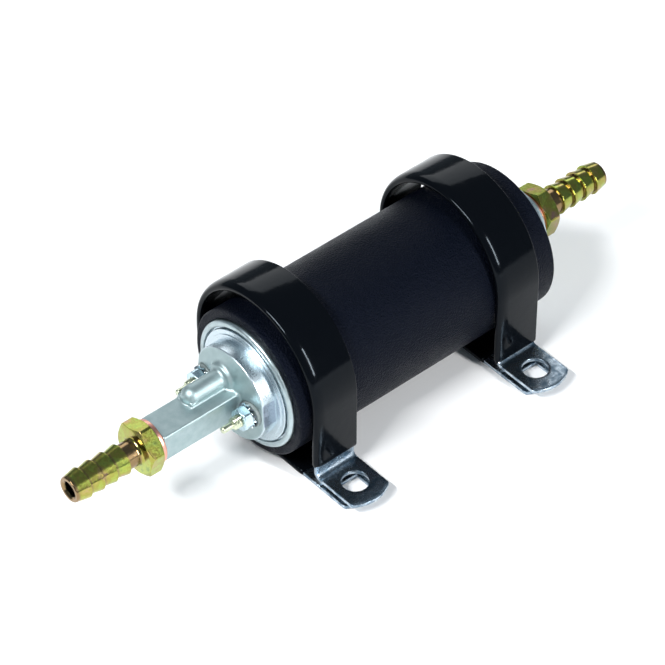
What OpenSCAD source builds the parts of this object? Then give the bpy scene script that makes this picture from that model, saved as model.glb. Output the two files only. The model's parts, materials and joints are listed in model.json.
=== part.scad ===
// Inline electric fuel pump with a foam sleeve, two coated saddle clamps and hose barbs.
// The pump axis runs along X, from the outlet at -X to the inlet at +X, and +Z is up.
// The origin is midway between the two clamp bolts, on the top face of the upper tabs.

/* [Housing] */
// Outer diameter of the steel can
can_d = 43; // [42:0.5:46]
// Wall of the steel can
can_wall = 1.2; // [1:0.1:1.4]
// Length of the can over both rolled lips
can_len = 106.5; // [106:0.5:116]
// Radial width of each rolled lip
lip_w = 2.05; // [1.8:0.05:2.4]
// Thickness of each rolled lip
lip_t = 1.2; // [1:0.1:1.4]

/* [Foam sleeve] */
// Wall of the foam sleeve
sleeve_wall = 3.05; // [2.5:0.05:3.6]
// Length of the foam sleeve
sleeve_len = 103.7; // [98:0.1:104.5]
// Setback of the sleeve from the outlet lip
sleeve_setback = 1.4; // [1:0.1:2.4]

/* [Clamps] */
// Distance between the two clamps
clamp_pitch = 74.5; // [50:0.5:82]
// Distance from the outlet lip to the first clamp
clamp_setback = 13; // [11:0.5:18]
// Width of the steel strap
strap_w = 15; // [13:0.5:18]
// Thickness of the steel strap
strap_t = 1.2; // [0.8:0.1:1.6]
// Thickness of the dipped coating
coat_t = 0.8; // [0.6:0.1:1]
// Slack between the sleeve and the loop on the far side
side_slack = 2.35; // [1:0.05:3]
// Slack between the sleeve and the loop at the top
top_slack = 4.2; // [3.4:0.1:5]
// Drop of the upper tab's top face below the pump axis
tab_drop = 22.4; // [22:0.1:22.8]
// Reach of the upper tab from the pump axis
upper_reach = 45.2; // [44:0.2:49]
// Reach of the lower tab from the pump axis
lower_reach = 41.6; // [41:0.2:43]
// Rise of the rounded end of each tab
tab_bow = 2.5; // [1.5:0.1:3]
// Clamp bolt hole diameter, and the side of the square hole below it
bolt_hole_d = 8.5; // [6.5:0.1:8.6]
// Distance from the pump axis to the bolt holes
bolt_reach = 35.7; // [35:0.1:36]
// Inner radius of the tab's bend
bend_r = 1.5; // [1:0.1:2]
// Depth below the axis at which the front clamp's coating stops on the strap's wall
coat_stop = 19; // [15:0.5:20]
// The same depth on the rear clamp, dipped a little further
rear_coat_stop = 20.4; // [15:0.1:20.4]
// Reach of the coating along the strap's lower run
coat_reach = 20.5; // [15:0.5:26]

/* [Outlet cap] */
// Radius of the round hub
hub_r = 15.8; // [15.2:0.1:16.6]
// Length of the turned shoulder in front of the can
shoulder_len = 5.4; // [4.6:0.1:6]
// Rise of the hub's cast dome
dome_rise = 1.9; // [1.4:0.1:2.6]
// Width across the sides of the outlet neck
neck_w = 11.2; // [10.8:0.1:12]
// Height of the outlet neck
neck_h = 9.6; // [9.6:0.1:10.4]
// Distance from the outlet lip to the neck's end
neck_reach = 35.5; // [34.5:0.5:38]
// Radius of the half-round rib on the neck
rib_r = 3.4; // [2.6:0.1:3.6]
// Height of the rib's centre above the pump axis
rib_z = 6; // [5.4:0.1:6.4]
// Distance from the outlet lip to the rib's front end
rib_reach = 21.8; // [18:0.2:26]
// Depth of the two flats on the shoulder
flat_cut = 0.6; // [0.4:0.1:1.2]
// Lean of the two flats towards the top, in degrees
flat_lean = 4; // [0:1:8]

/* [Inlet cap] */
// Distance from the inlet lip to the inlet port's face
port_reach = 9.6; // [9:0.2:14]
// Radius of the inlet port boss
port_r = 9; // [8.4:0.1:10]
// Depth of the chamber between the pump section and the inlet cap's wall
inlet_room = 7.9; // [7:0.1:10]

/* [Hose fittings] */
// Size across the flats of the hexagon
hex_af = 16; // [15:0.5:17]
// Thickness of the hexagon
hex_t = 5.3; // [4.5:0.1:6]
// Diameter over the barbs
barb_d = 10.2; // [9.8:0.1:10.8]
// Diameter at the root of the barbs
root_d = 8.5; // [8:0.1:9]
// Number of barbs
barb_count = 4; // [3:1:5]
// Distance between barbs
barb_pitch = 4.8; // [4.4:0.1:5.2]
// Length of the stem between the hexagon and the nearest barb
stem_len = 5.1; // [4:0.1:6]
// Bore of the fitting
bore_d = 4.9; // [4.4:0.1:5.2]
// Outer diameter of the port thread
thread_d = 8; // [7.6:0.1:8.2]
// Length of the threaded stub
thread_len = 7; // [5.5:0.5:7.5]
// Outer diameter of the sealing washer
washer_d = 14.6; // [13.6:0.2:15.4]
// Thickness of the sealing washer
washer_t = 1.6; // [1:0.1:2]

/* [Terminals] */
// Distance from the pump axis to each terminal
terminal_reach = 10.5; // [10.3:0.1:11]
// Diameter of the terminal stud
stud_d = 4; // [3.6:0.1:4.2]
// Distance from the outlet lip to the stud's tip
stud_reach = 17.6; // [16:0.2:20]
// Size across the flats of the terminal nut
nut_af = 7; // [6.6:0.1:7.4]
// Thickness of the terminal nut
nut_t = 3.2; // [2.6:0.1:3.6]
// Radius of the insulator's flange
pad_r = 4.3; // [4:0.1:4.5]
// Thickness of the insulator's flange
pad_t = 1.2; // [0.9:0.1:1.5]
// Thickness of the toothed washer
star_t = 0.8; // [0.6:0.1:1]

/* [Motor] */
// Diameter of the shaft
shaft_d = 6; // [5.4:0.1:6.4]
// Radius of the armature core
core_r = 12.6; // [12:0.1:12.8]
// Number of armature slots and commutator bars
slot_count = 8; // [6:1:9]
// Radius of the commutator
commutator_r = 7; // [6.6:0.1:7.2]
// Gap between the core and the magnets
air_gap = 0.6; // [0.5:0.1:0.8]
// Thickness of each magnet
magnet_t = 4.8; // [4.2:0.1:5]
// Half of the angle that each magnet spans
magnet_half = 62; // [55:1:64]
// Length of each brush
brush_len = 6.5; // [5:0.1:7]

/* [Rotor pump] */
// Number of lobes of the outer rotor
lobe_count = 7; // [5:1:7]
// Radius of the circle on which the lobes stand
lobe_circle = 10; // [9.8:0.05:10.1]
// Radius of each lobe
lobe_r = 3; // [2.8:0.05:3.1]
// Eccentricity of the outer rotor
eccentricity = 1; // [0.85:0.05:1]
// Width of the rotors
rotor_w = 10; // [8:0.5:11]
// Outer radius of the outer rotor
rotor_r = 13.5; // [13.3:0.1:13.7]
// Thickness of each port plate
plate_t = 7; // [6.6:0.1:7.5]

/* [Valves] */
// Bore radius of the check valve chamber
chamber_r = 3.1; // [2.9:0.1:3.2]
// Radius of the relief valve ball
ball_r = 2; // [1.8:0.05:2.1]

/* [Fits] */
// Radial clearance of a running fit
run_gap = 0.05; // [0.03:0.01:0.08]
// Radial clearance between seated parts
seat_gap = 0.05; // [0.03:0.01:0.08]
// Clearance along the axis between stacked parts
stack_gap = 0.05; // [0.03:0.01:0.1]
// Clearance between the rotor teeth
tooth_gap = 0.08; // [0.06:0.01:0.1]

/* [Hidden] */
$fn = 96;
eps = 0.01;

// Radii of the stack inside the can
can_r = can_d / 2;
bore_r = can_r - can_wall;
fit_r = bore_r - seat_gap;
lip_bore_r = can_r - lip_w;
sleeve_r = can_r + seat_gap + sleeve_wall;

// Stations along the pump axis, with 0 at the outlet lip
flange_x = lip_t + stack_gap;
cap_inner_x = 9;
holder_x = cap_inner_x + stack_gap;
holder_len = 12;
magnet_overhang = 3;
inlet_wall_t = 7.3;
magnet_x = holder_x + holder_len + 4;
core_x = magnet_x + magnet_overhang;
yoke_x = holder_x + holder_len + stack_gap;
inlet_wall_x = can_len - lip_t - stack_gap - inlet_wall_t;
inlet_plate_end = inlet_wall_x - inlet_room;
inlet_cap_x = inlet_plate_end + stack_gap;
ring_end = inlet_plate_end - plate_t;
ring_x = ring_end - rotor_w;
plate_x = ring_x - plate_t;
magnet_end = plate_x - 5;
core_end = magnet_end - magnet_overhang;
core_len = core_end - core_x;
port_x = can_len + port_reach;

// The clamp loop touches the sleeve below and on the tab side
loop_r = sleeve_r + (seat_gap + side_slack) / 2;
loop_y = loop_r - sleeve_r - seat_gap;
loop_z = sleeve_r + top_slack - loop_r;
loop_low_z = loop_y;
steel_r = loop_r + coat_t;
steel_out_r = steel_r + strap_t;
coat_out_r = steel_out_r + coat_t;
coat_side = 0.6;
coat_round = 1.1;
coat_fit = 0.01;
wall_y = loop_y - steel_out_r;
lower_z = loop_low_z - steel_out_r;
bend_y = wall_y - bend_r;
bend_z = bend_r - tab_drop;
tab_arc_r = (pow(strap_w / 2, 2) + pow(tab_bow, 2)) / (2 * tab_bow);

// Hubs, terminals and valves
dome_r = (pow(hub_r, 2) + pow(dome_rise, 2)) / (2 * dome_rise);
dome_front = shoulder_len + dome_rise;
lobe_out_r = pad_r + 0.3;
lobe_front = shoulder_len + 0.4;
insulator_r = stud_d / 2 + 1.3;
pad_x = -lobe_front;
star_x = pad_x - pad_t - star_t - stack_gap;
nut_x = star_x - nut_t - stack_gap;
rib_y = neck_w / 2 - rib_r;
thread_r = thread_d / 2;
thread_bore_r = thread_r + seat_gap;
thread_depth = thread_len + 1;
chamber_x = -neck_reach + thread_depth;
seat_r = 1.7;
seat_x = -dome_front - 4.9;
chamber_end = seat_x - (chamber_r - seat_r);
poppet_r = chamber_r - 0.5;
poppet_gap = 0.15;
poppet_x = seat_x - poppet_gap - (poppet_r - seat_r);
poppet_back = poppet_x - 1.35;
stem_r = 1;
guide_x = chamber_x + 1.5;
guide_t = 1.4;
spring_gap = 0.08;

// Motor and brushes
shaft_r = shaft_d / 2;
shaft_x = 3.3;
bush_r = shaft_r + run_gap + 1.45;
bush_x = 3;
bush_len = cap_inner_x - bush_x;
winding_slot_r = 2.4;
slot_circle = core_r - 4;
winding_in_r = slot_circle - winding_slot_r - 1;
winding_out_r = core_r - 1;
commutator_x = holder_x + 3;
commutator_len = 8.4;
riser_r = commutator_r + 1.2;
riser_len = 1.4;
magnet_in_r = core_r + air_gap;
magnet_out_r = magnet_in_r + magnet_t;
yoke_in_r = magnet_out_r + seat_gap;
brush_gap = 0.1;
brush_w = 4;
brush_depth = 5;
brush_x = commutator_x + commutator_len / 2;
brush_in_r = commutator_r + brush_gap;
brush_out_r = brush_in_r + brush_len;
holder_r = bore_r - 0.4;
pocket_end_r = holder_r - 1.3;
wire_r = 0.25;

// Rotor pump and relief valve
inner_count = lobe_count - 1;
rotor_axial_gap = 0.05;
cavity_r = lobe_circle - lobe_r + 2 * eccentricity + 0.1;
ring_bore_r = rotor_r + run_gap;
relief_z = -(bore_r + ring_bore_r - eccentricity) / 2;
relief_bore_r = ball_r + 0.1;
relief_seat_r = 1.3;
relief_seat_x = ring_x - 2.9;
relief_gap = 0.1;
ball_x = relief_seat_x - relief_seat_r + (ball_r + relief_gap) * sqrt(2);
plug_r = 2.35;
plug_x = ring_end + 1.5;
screw_circle = 16.6;
screw_r = 1.5;
head_r = 2.5;
head_t = 2.1;

module axial(x = 0) translate([x, 0, 0]) rotate([90, 0, 90]) children();

module rod(r, x0, x1) axial(x0) cylinder(r = r, h = x1 - x0);

module tube(r_in, r_out, x0, x1) {
  difference() {
    rod(r_out, x0, x1);
    rod(r_in, x0 - eps, x1 + eps);
  }
}

module turned() rotate([90, 0, 90]) rotate_extrude() children();

module at_angles(list) for (a = list) rotate([a, 0, 0]) children();

// A rectangle with round corners in the half plane of a turned part
module soft_rect(r0, x0, r1, x1, soft) {
  translate([r0 + soft, x0]) square([r1 - r0 - 2 * soft, x1 - x0]);
  translate([r0, x0 + soft]) square([r1 - r0, x1 - x0 - 2 * soft]);
  for (r = [r0 + soft, r1 - soft], x = [x0 + soft, x1 - soft]) translate([r, x]) circle(soft);
}

module hexagon(af) circle(d = af / cos(30), $fn = 6);

// A hexagon with its corners turned down at both faces
module turned_hex(af, x0, x1, phase = 0) {
  corner_r = af / 2 / cos(30);
  intersection() {
    axial(x0) rotate(phase) linear_extrude(x1 - x0) hexagon(af);
    turned() polygon([
      [0, x0], [af / 2 - 0.1, x0], [corner_r + 0.1, x0 + (corner_r - af / 2 + 0.2) * tan(30)],
      [corner_r + 0.1, x1 - (corner_r - af / 2 + 0.2) * tan(30)], [af / 2 - 0.1, x1], [0, x1]]);
  }
}

// A wedge about the pump axis, from angle a0 to a1 out from +Y towards +Z
module wedge(a0, a1, x0, x1, reach = 60) {
  axial(x0) linear_extrude(x1 - x0)
    polygon([[0, 0], for (i = [0:4]) let(a = a0 + (a1 - a0) * i / 4) reach * [cos(a), sin(a)]]);
}

// One ring of the wire, and the whole wire wound along the pump axis from x0 to x1
function wire_ring(t, turns, coil_r, len, sides) =
  let(a = 360 * turns * t, lean = atan2(len, 2 * PI * coil_r * turns))
  [for (s = [0:sides - 1]) let(b = 360 * s / sides, u = wire_r * cos(b), v = wire_r * sin(b))
    [len * t + v * cos(lean), (coil_r + u) * cos(a) + v * sin(lean) * sin(a),
      (coil_r + u) * sin(a) - v * sin(lean) * cos(a)]];

module coil(x0, x1, coil_r, turns, per_turn = 12, sides = 6) {
  steps = turns * per_turn;
  len = x1 - x0 - 2 * wire_r;
  points = [for (i = [0:steps]) each wire_ring(i / steps, turns, coil_r, len, sides)];
  walls = [for (i = [0:steps - 1], s = [0:sides - 1])
    let(p = i * sides + s, q = i * sides + (s + 1) % sides)
    each [[p, p + sides, q], [q, p + sides, q + sides]]];
  first = [for (s = [1:sides - 2]) [0, s, s + 1]];
  last = [for (s = [1:sides - 2]) let(b = steps * sides) [b, b + s + 1, b + s]];
  translate([x0 + wire_r, 0, 0]) polyhedron(points, concat(walls, first, last), convexity = 6);
}

module pump_frame() {
  translate([-clamp_setback - clamp_pitch / 2, bolt_reach, tab_drop]) children();
}

module pump_can() color("silver") pump_frame() {
  nose = lip_t / 2;
  turned() {
    translate([bore_r, can_wall]) square([can_wall, can_len - 2 * can_wall]);
    for (side = [0, 1]) translate([0, side * can_len]) mirror([0, side]) {
      translate([lip_bore_r + nose, 0]) square([bore_r - lip_bore_r - nose + eps, lip_t]);
      translate([lip_bore_r + nose, nose]) circle(nose);
      intersection() {
        translate([bore_r, can_wall]) circle(can_wall);
        translate([bore_r, 0]) square([can_wall, can_wall + eps]);
      }
    }
  }
}

module foam_sleeve() color([0.09, 0.09, 0.11]) pump_frame() {
  turned() soft_rect(can_r + seat_gap, sleeve_setback, sleeve_r, sleeve_setback + sleeve_len, 0.8);
}

module cap_flange(x0, x1, groove_x) {
  difference() {
    rod(fit_r, x0, x1);
    tube(fit_r - 1.5, fit_r + 1, groove_x, groove_x + 2.2);
  }
}

module outlet_cap() color([0.78, 0.81, 0.82]) pump_frame() {
  difference() {
    union() {
      cap_flange(flange_x, cap_inner_x, 4.6);
      rod(lip_bore_r - 0.6, -0.1, flange_x + eps);
      rod(lip_bore_r - 2.1, -0.5, 0);
      outlet_hub();
      outlet_neck();
    }
    outlet_passages();
    for (side = [-1, 1]) translate([0, side * terminal_reach, 0]) {
      rod(insulator_r + seat_gap, -dome_front - 3, cap_inner_x + 1);
      rod(pad_r + 0.15, -dome_front - 3, pad_x);
      rod(pad_r + 0.15, cap_inner_x - pad_t, cap_inner_x + 1);
    }
  }
}

// The turned shoulder with its cast dome and side flats, and the two terminal lobes
module outlet_hub() {
  difference() {
    turned() intersection() {
      translate([0, dome_r - dome_front]) circle(dome_r);
      translate([0, -dome_front - 1]) square([hub_r, dome_front + 1.5]);
    }
    for (side = [0, 1]) mirror([0, side, 0]) rotate([-flat_lean, 0, 0])
      translate([-dome_front, -hub_r - 2, -hub_r]) cube([dome_front - 0.5, 2 + flat_cut, 2 * hub_r]);
  }
  for (side = [-1, 1]) translate([0, side * terminal_reach, 0])
    rod(lobe_out_r, -lobe_front, 1.2 - shoulder_len);
}

module outlet_neck() {
  edge = 0.5;
  side = neck_w / 2;
  top = neck_h / 2;
  flare = 1.4;
  nose_flat = 0.03;
  axial(-neck_reach) linear_extrude(neck_reach - shoulder_len)
    polygon([
      [-side, edge - top], [edge - side, -top], [side - edge, -top], [side, edge - top],
      [side, top - edge], [side - edge, top], [edge - side, top], [-side, top - edge]]);
  translate([0, rib_y, rib_z]) turned() {
    translate([0, rib_r - rib_reach]) intersection() {
      circle(rib_r);
      translate([0, nose_flat - rib_r]) square([rib_r, 2 * rib_r]);
    }
    translate([0, rib_r - rib_reach]) square([rib_r, rib_reach - rib_r - shoulder_len]);
    polygon([
      [0, -dome_front - flare], [rib_r, -dome_front - flare],
      [rib_r + 1.7 * flare, 1 - dome_front], [0, 1 - dome_front]]);
  }
  translate([rib_r - rib_reach + 0.3, rib_y - rib_r + 0.05, 0])
    cube([rib_reach - rib_r - shoulder_len, 2 * rib_r - 0.1, rib_z - 0.3]);
}

// Port thread, valve chamber with its cone seat, gallery, feed holes and the seat of the bush
module outlet_passages() {
  rod(thread_bore_r, -neck_reach - eps, chamber_x);
  rod(chamber_r, chamber_x - eps, chamber_end);
  axial(chamber_end - eps) cylinder(r1 = chamber_r, r2 = seat_r, h = seat_x - chamber_end + eps);
  rod(seat_r, seat_x - eps, 0);
  rod(5.5, -1.5, bush_x);
  rod(bush_r + seat_gap, bush_x - eps, cap_inner_x + 1);
  at_angles([45:90:315]) translate([0, 6.6, 0]) {
    rod(1.4, -1.5, bush_x + 0.6);
    rod(1.1, bush_x, cap_inner_x + 1);
  }
}

module inlet_cap() color([0.76, 0.79, 0.8]) pump_frame() difference() {
  x1 = can_len - lip_t - stack_gap;
  dome_x = port_x - 1.2 * dome_rise;
  turned() {
    translate([fit_r - 2.6, inlet_cap_x]) square([2.6, x1 - inlet_cap_x]);
    translate([0, inlet_wall_x]) square([fit_r, x1 - inlet_wall_x]);
    translate([0, inlet_wall_x]) square([lip_bore_r - 0.6, can_len + 0.1 - inlet_wall_x]);
    intersection() {
      translate([0, dome_x - dome_r]) circle(dome_r);
      translate([0, can_len - 0.5]) square([hub_r, port_reach]);
    }
    translate([0, can_len]) square([port_r, port_reach]);
  }
  tube(fit_r - 1.5, fit_r + 1, inlet_wall_x + 2.4, inlet_wall_x + 4.6);
  axial(inlet_wall_x - eps) cylinder(r1 = 9.2, r2 = seat_r + 1.4, h = 5.5);
  rod(seat_r + 1.4, inlet_wall_x, port_x - 1);
  rod(thread_bore_r, port_x - thread_depth, port_x + eps);
}

module cap_seal(groove_x) {
  seal_r = 0.7;
  turned() translate([fit_r - 1.5 + seal_r + seat_gap, groove_x + 1.1]) circle(seal_r);
}

module outlet_cap_seal() color([0.1, 0.1, 0.1]) pump_frame() cap_seal(4.6);

module inlet_cap_seal() color([0.1, 0.1, 0.1]) pump_frame() cap_seal(inlet_wall_x + 2.4);

// Hose fitting with its washer face at x = 0 and its barbs towards +X
module hose_fitting() {
  first_x = hex_t + stem_len;
  tip_x = first_x + barb_count * barb_pitch + 0.2;
  root_r = root_d / 2;
  barb_r = barb_d / 2;
  barbs = [for (i = [0:barb_count - 1]) let(x = first_x + i * barb_pitch)
    each [[root_r, x], [barb_r, x], [barb_r, x + 0.4]]];
  difference() {
    union() {
      turned_hex(hex_af, 0, hex_t, 44.7);
      rod(thread_r, -thread_len, 0.5);
      turned() polygon([
        [0, hex_t - 0.1], [barb_r, hex_t - 0.1], [barb_r, hex_t], [root_r, hex_t + 1.2],
        each barbs, [root_r, tip_x], [0, tip_x]]);
    }
    rod(bore_d / 2, -thread_len - eps, tip_x + eps);
    axial(tip_x - 0.6) cylinder(r1 = bore_d / 2, r2 = bore_d / 2 + 0.7, h = 0.6 + eps);
  }
}

module outlet_fitting() color([0.72, 0.68, 0.3]) pump_frame()
  translate([-neck_reach - washer_t, 0, 0]) mirror([1, 0, 0]) hose_fitting();

module inlet_fitting() color([0.72, 0.68, 0.3]) pump_frame()
  translate([port_x + washer_t, 0, 0]) hose_fitting();

module sealing_washer(x) turned() soft_rect(thread_r + 0.15, x, washer_d / 2, x + washer_t, 0.3);

module outlet_washer() color([0.8, 0.45, 0.35]) pump_frame() sealing_washer(-neck_reach - washer_t);

module inlet_washer() color([0.8, 0.45, 0.35]) pump_frame() sealing_washer(port_x);

// Steel strap of a clamp, centred on x = 0, grown by the given amount for its coating's pocket
module strap_band(grow = 0) {
  half = strap_w / 2 + grow;
  r0 = steel_r - grow;
  r1 = steel_out_r + grow;
  t = r1 - r0;
  axial(-half) linear_extrude(2 * half) {
    loop_run(r0, r1);
    translate([wall_y - grow, bend_z]) square([t, loop_z - bend_z]);
    translate([-coat_reach - 4, lower_z - grow]) square([coat_reach + 4 + loop_y, t]);
  }
}

// Loop of the clamp in the plane across the axis: an arch, a short straight wall and a quarter turn
module loop_run(r0, r1) {
  far = 2 * r1;
  translate([loop_y, loop_z]) difference() {
    circle(r1);
    circle(r0);
    translate([-far, -far]) square([2 * far, far]);
  }
  translate([loop_y + r0, loop_low_z]) square([r1 - r0, loop_z - loop_low_z]);
  translate([loop_y, loop_low_z]) difference() {
    circle(r1);
    circle(r0);
    translate([-far, 0]) square([2 * far, far]);
    translate([-far, -far]) square([far, 2 * far]);
  }
}

// A tab's outline seen from above, from y0 out to its bowed end
module tab_outline(y0, reach) {
  translate([-strap_w / 2, tab_bow - reach]) square([strap_w, reach - tab_bow + y0]);
  intersection() {
    translate([-strap_w / 2, -reach]) square([strap_w, tab_bow + eps]);
    translate([0, tab_arc_r - reach]) circle(tab_arc_r);
  }
}

module clamp_strap() {
  difference() {
    union() {
      strap_band();
      axial(-strap_w / 2) linear_extrude(strap_w) intersection() {
        translate([bend_y, bend_z]) difference() {
          circle(bend_r + strap_t);
          circle(bend_r);
        }
        translate([bend_y, bend_z - bend_r - strap_t]) square([bend_r + strap_t, bend_r + strap_t]);
      }
      translate([0, 0, -tab_drop - strap_t]) linear_extrude(strap_t) tab_outline(bend_y, upper_reach);
      translate([0, 0, lower_z]) linear_extrude(strap_t) tab_outline(-coat_reach, lower_reach);
    }
    translate([0, -bolt_reach, -tab_drop - strap_t - 0.5]) cylinder(d = bolt_hole_d, h = strap_t + 1);
    translate([-bolt_hole_d / 2, -bolt_reach - bolt_hole_d / 2, lower_z - 0.5])
      cube([bolt_hole_d, bolt_hole_d, strap_t + 1]);
  }
}

// Section of the dipped band, with its radial direction along X and its width along Y
module coat_section() {
  half = strap_w / 2 + coat_side;
  soft_rect(loop_r, -half, coat_out_r, half, coat_round);
}

// The dipped coating: the arch, the quarter turn, the far wall, the lower run and the tab-side wall
module clamp_coating(stop) difference() {
  union() {
    translate([0, loop_y, loop_z]) axial() rotate_extrude(angle = 180) coat_section();
    translate([0, loop_y, loop_low_z]) {
      axial() rotate(-90) rotate_extrude(angle = 90) coat_section();
      rotate(90) linear_extrude(loop_z - loop_low_z) coat_section();
      rotate([90, 90, 0]) linear_extrude(loop_y + coat_reach) coat_section();
    }
    translate([0, loop_y, -stop]) rotate(-90) linear_extrude(loop_z + stop) coat_section();
  }
  strap_band(coat_fit);
}

module clamp_at(index) pump_frame() translate([clamp_setback + index * clamp_pitch, 0, 0]) children();

module front_clamp_strap() color([0.66, 0.72, 0.76]) clamp_at(0) clamp_strap();

module rear_clamp_strap() color([0.66, 0.72, 0.76]) clamp_at(1) clamp_strap();

module front_clamp_coating() color([0.03, 0.03, 0.04]) clamp_at(0) clamp_coating(coat_stop);

module rear_clamp_coating() color([0.03, 0.03, 0.04])
  clamp_at(1) clamp_coating(rear_coat_stop);

// Terminal stud with its square head inside the cap
module terminal_stud(side) {
  head = 6.6;
  translate([0, side * terminal_reach, 0]) {
    turned() polygon([
      [0, -stud_reach], [stud_d / 2 - 0.5, -stud_reach], [stud_d / 2, 0.5 - stud_reach],
      [stud_d / 2, cap_inner_x + 1.2], [0, cap_inner_x + 1.2]]);
    translate([cap_inner_x + stack_gap, -head / 2, -head / 2]) cube([1.6, head, head]);
  }
}

module positive_terminal() color([0.8, 0.78, 0.5]) pump_frame() terminal_stud(-1);

module negative_terminal() color([0.8, 0.78, 0.5]) pump_frame() terminal_stud(1);

module terminal_insulators() color([0.85, 0.83, 0.76]) pump_frame() for (side = [-1, 1])
  translate([0, side * terminal_reach, 0]) {
    difference() {
      union() {
        rod(insulator_r, pad_x - pad_t, cap_inner_x - pad_t - stack_gap);
        rod(pad_r, pad_x - pad_t, pad_x - stack_gap);
      }
      rod(stud_d / 2 + seat_gap, pad_x - pad_t - eps, cap_inner_x);
    }
    tube(stud_d / 2 + seat_gap, pad_r, cap_inner_x - pad_t, cap_inner_x);
  }

module terminal_nuts() color([0.72, 0.78, 0.8]) pump_frame() for (side = [-1, 1])
  translate([0, side * terminal_reach, 0]) difference() {
    turned_hex(nut_af, nut_x, nut_x + nut_t, 10);
    rod(stud_d / 2 + seat_gap, nut_x - eps, nut_x + nut_t + eps);
  }

// Toothed lock washers under the terminal nuts
module star_washers() color([0.8, 0.82, 0.84]) pump_frame() {
  teeth = 12;
  for (side = [-1, 1]) translate([0, side * terminal_reach, 0]) difference() {
    rod(pad_r - 0.2, star_x, star_x + star_t);
    rod(stud_d / 2 + seat_gap, star_x - eps, star_x + star_t + eps);
    at_angles([for (i = [0:teeth - 1]) 360 * i / teeth]) translate([star_x - eps, pad_r - 1, -0.22])
      cube([star_t + 2 * eps, 1.2, 0.44]);
  }
}

// Check valve: a cone poppet on a guided stem, with its nose in the seat
module check_valve_poppet() color([0.75, 0.65, 0.35]) pump_frame() {
  nose_r = 1.1;
  turned() polygon([
    [0, seat_x - poppet_gap + seat_r - nose_r], [nose_r, seat_x - poppet_gap + seat_r - nose_r],
    [poppet_r, poppet_x], [poppet_r, poppet_back], [stem_r, poppet_back],
    [stem_r, guide_x - guide_t - 0.6], [stem_r - 0.3, guide_x - guide_t - 0.9],
    [0, guide_x - guide_t - 0.9]]);
}

module check_valve_spring() color("silver") pump_frame()
  coil(guide_x + spring_gap, poppet_back - spring_gap, 1.75, 5);

module check_valve_guide() color([0.75, 0.65, 0.35]) pump_frame() difference() {
  rod(chamber_r - seat_gap, guide_x - guide_t, guide_x);
  rod(stem_r + 0.08, guide_x - guide_t - eps, guide_x + eps);
  at_angles([30:120:270]) translate([0, 2.05, 0]) rod(0.62, guide_x - guide_t - eps, guide_x + eps);
}

module relief_valve_ball() color("silver") pump_frame() translate([ball_x, 0, relief_z]) sphere(ball_r);

module relief_valve_spring() color("silver") pump_frame() translate([0, 0, relief_z]) {
  coil_r = 1.3;
  reach = sqrt(pow(ball_r + wire_r + spring_gap, 2) - pow(coil_r, 2));
  coil(ball_x + reach - wire_r, plug_x - spring_gap, coil_r, 6);
}

module relief_valve_plug() color([0.75, 0.65, 0.35]) pump_frame() translate([0, 0, relief_z]) difference() {
  rod(plug_r, plug_x, inlet_plate_end - 0.8);
  rod(0.7, plug_x - eps, inlet_plate_end);
  translate([inlet_plate_end - 1.8, -plug_r, -0.35]) cube([2, 2 * plug_r, 0.7]);
}

module armature_shaft() color([0.7, 0.72, 0.74]) pump_frame() {
  shaft_end = ring_end + 2;
  flat = 0.8;
  difference() {
    rod(shaft_r, shaft_x, shaft_end);
    translate([ring_x, -shaft_r, shaft_r - flat]) cube([shaft_end - ring_x + 1, 2 * shaft_r, 2]);
  }
}

// Laminated core with round slots that open to its rim
module armature_core() color([0.35, 0.36, 0.38]) pump_frame() difference() {
  rod(core_r, core_x, core_end);
  rod(shaft_r + seat_gap, core_x - eps, core_end + eps);
  at_angles([for (i = [0:slot_count - 1]) 360 * i / slot_count]) {
    translate([0, slot_circle, 0]) rod(winding_slot_r, core_x - eps, core_end + eps);
    translate([core_x - eps, slot_circle, -0.7]) cube([core_len + 2 * eps, 5, 1.4]);
  }
}

module armature_windings() color([0.72, 0.36, 0.16]) pump_frame() {
  head = 5;
  gap = 0.15;
  slots = [for (i = [0:slot_count - 1]) 360 * i / slot_count];
  at_angles(slots) translate([0, slot_circle, 0]) rod(winding_slot_r - gap, core_x - 1, core_end + 1);
  for (x = [core_x - gap - head, core_end + gap]) difference() {
    turned() soft_rect(winding_in_r, x, winding_out_r, x + head, 1.6);
    at_angles([for (a = slots) a + 180 / slot_count]) translate([x - 1, winding_out_r - 0.8, -0.5])
      cube([head + 2, 2, 1]);
  }
}

// Commutator bars split by saw cuts, with a riser at the winding end
module commutator() color([0.8, 0.5, 0.3]) pump_frame() difference() {
  union() {
    rod(commutator_r, commutator_x, commutator_x + commutator_len);
    rod(riser_r, commutator_x + commutator_len - riser_len, commutator_x + commutator_len);
  }
  rod(shaft_r + seat_gap, commutator_x - eps, commutator_x + commutator_len + eps);
  at_angles([for (i = [0:slot_count - 1]) 360 * (i + 0.5) / slot_count])
    translate([commutator_x - eps, commutator_r - 1.2, -0.25]) cube([commutator_len + 2 * eps, 3, 0.5]);
}

module thrust_washers() color([0.2, 0.2, 0.22]) pump_frame() {
  tube(shaft_r + run_gap, shaft_r + 2.4, cap_inner_x + 0.3, cap_inner_x + 1);
  tube(shaft_r + run_gap, shaft_r + 2.4, plate_x - 1, plate_x - 0.3);
}

module front_bush() color([0.66, 0.5, 0.3]) pump_frame()
  tube(shaft_r + run_gap, bush_r, bush_x, bush_x + bush_len);

module rear_bush() color([0.66, 0.5, 0.3]) pump_frame()
  tube(shaft_r + run_gap, bush_r, plate_x, plate_x + bush_len);

module magnet(middle) intersection() {
  tube(magnet_in_r, magnet_out_r, magnet_x, magnet_end);
  wedge(middle - magnet_half, middle + magnet_half, magnet_x - 1, magnet_end + 1);
}

module upper_magnet() color([0.25, 0.25, 0.27]) pump_frame() magnet(90);

module lower_magnet() color([0.25, 0.25, 0.27]) pump_frame() magnet(-90);

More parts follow.
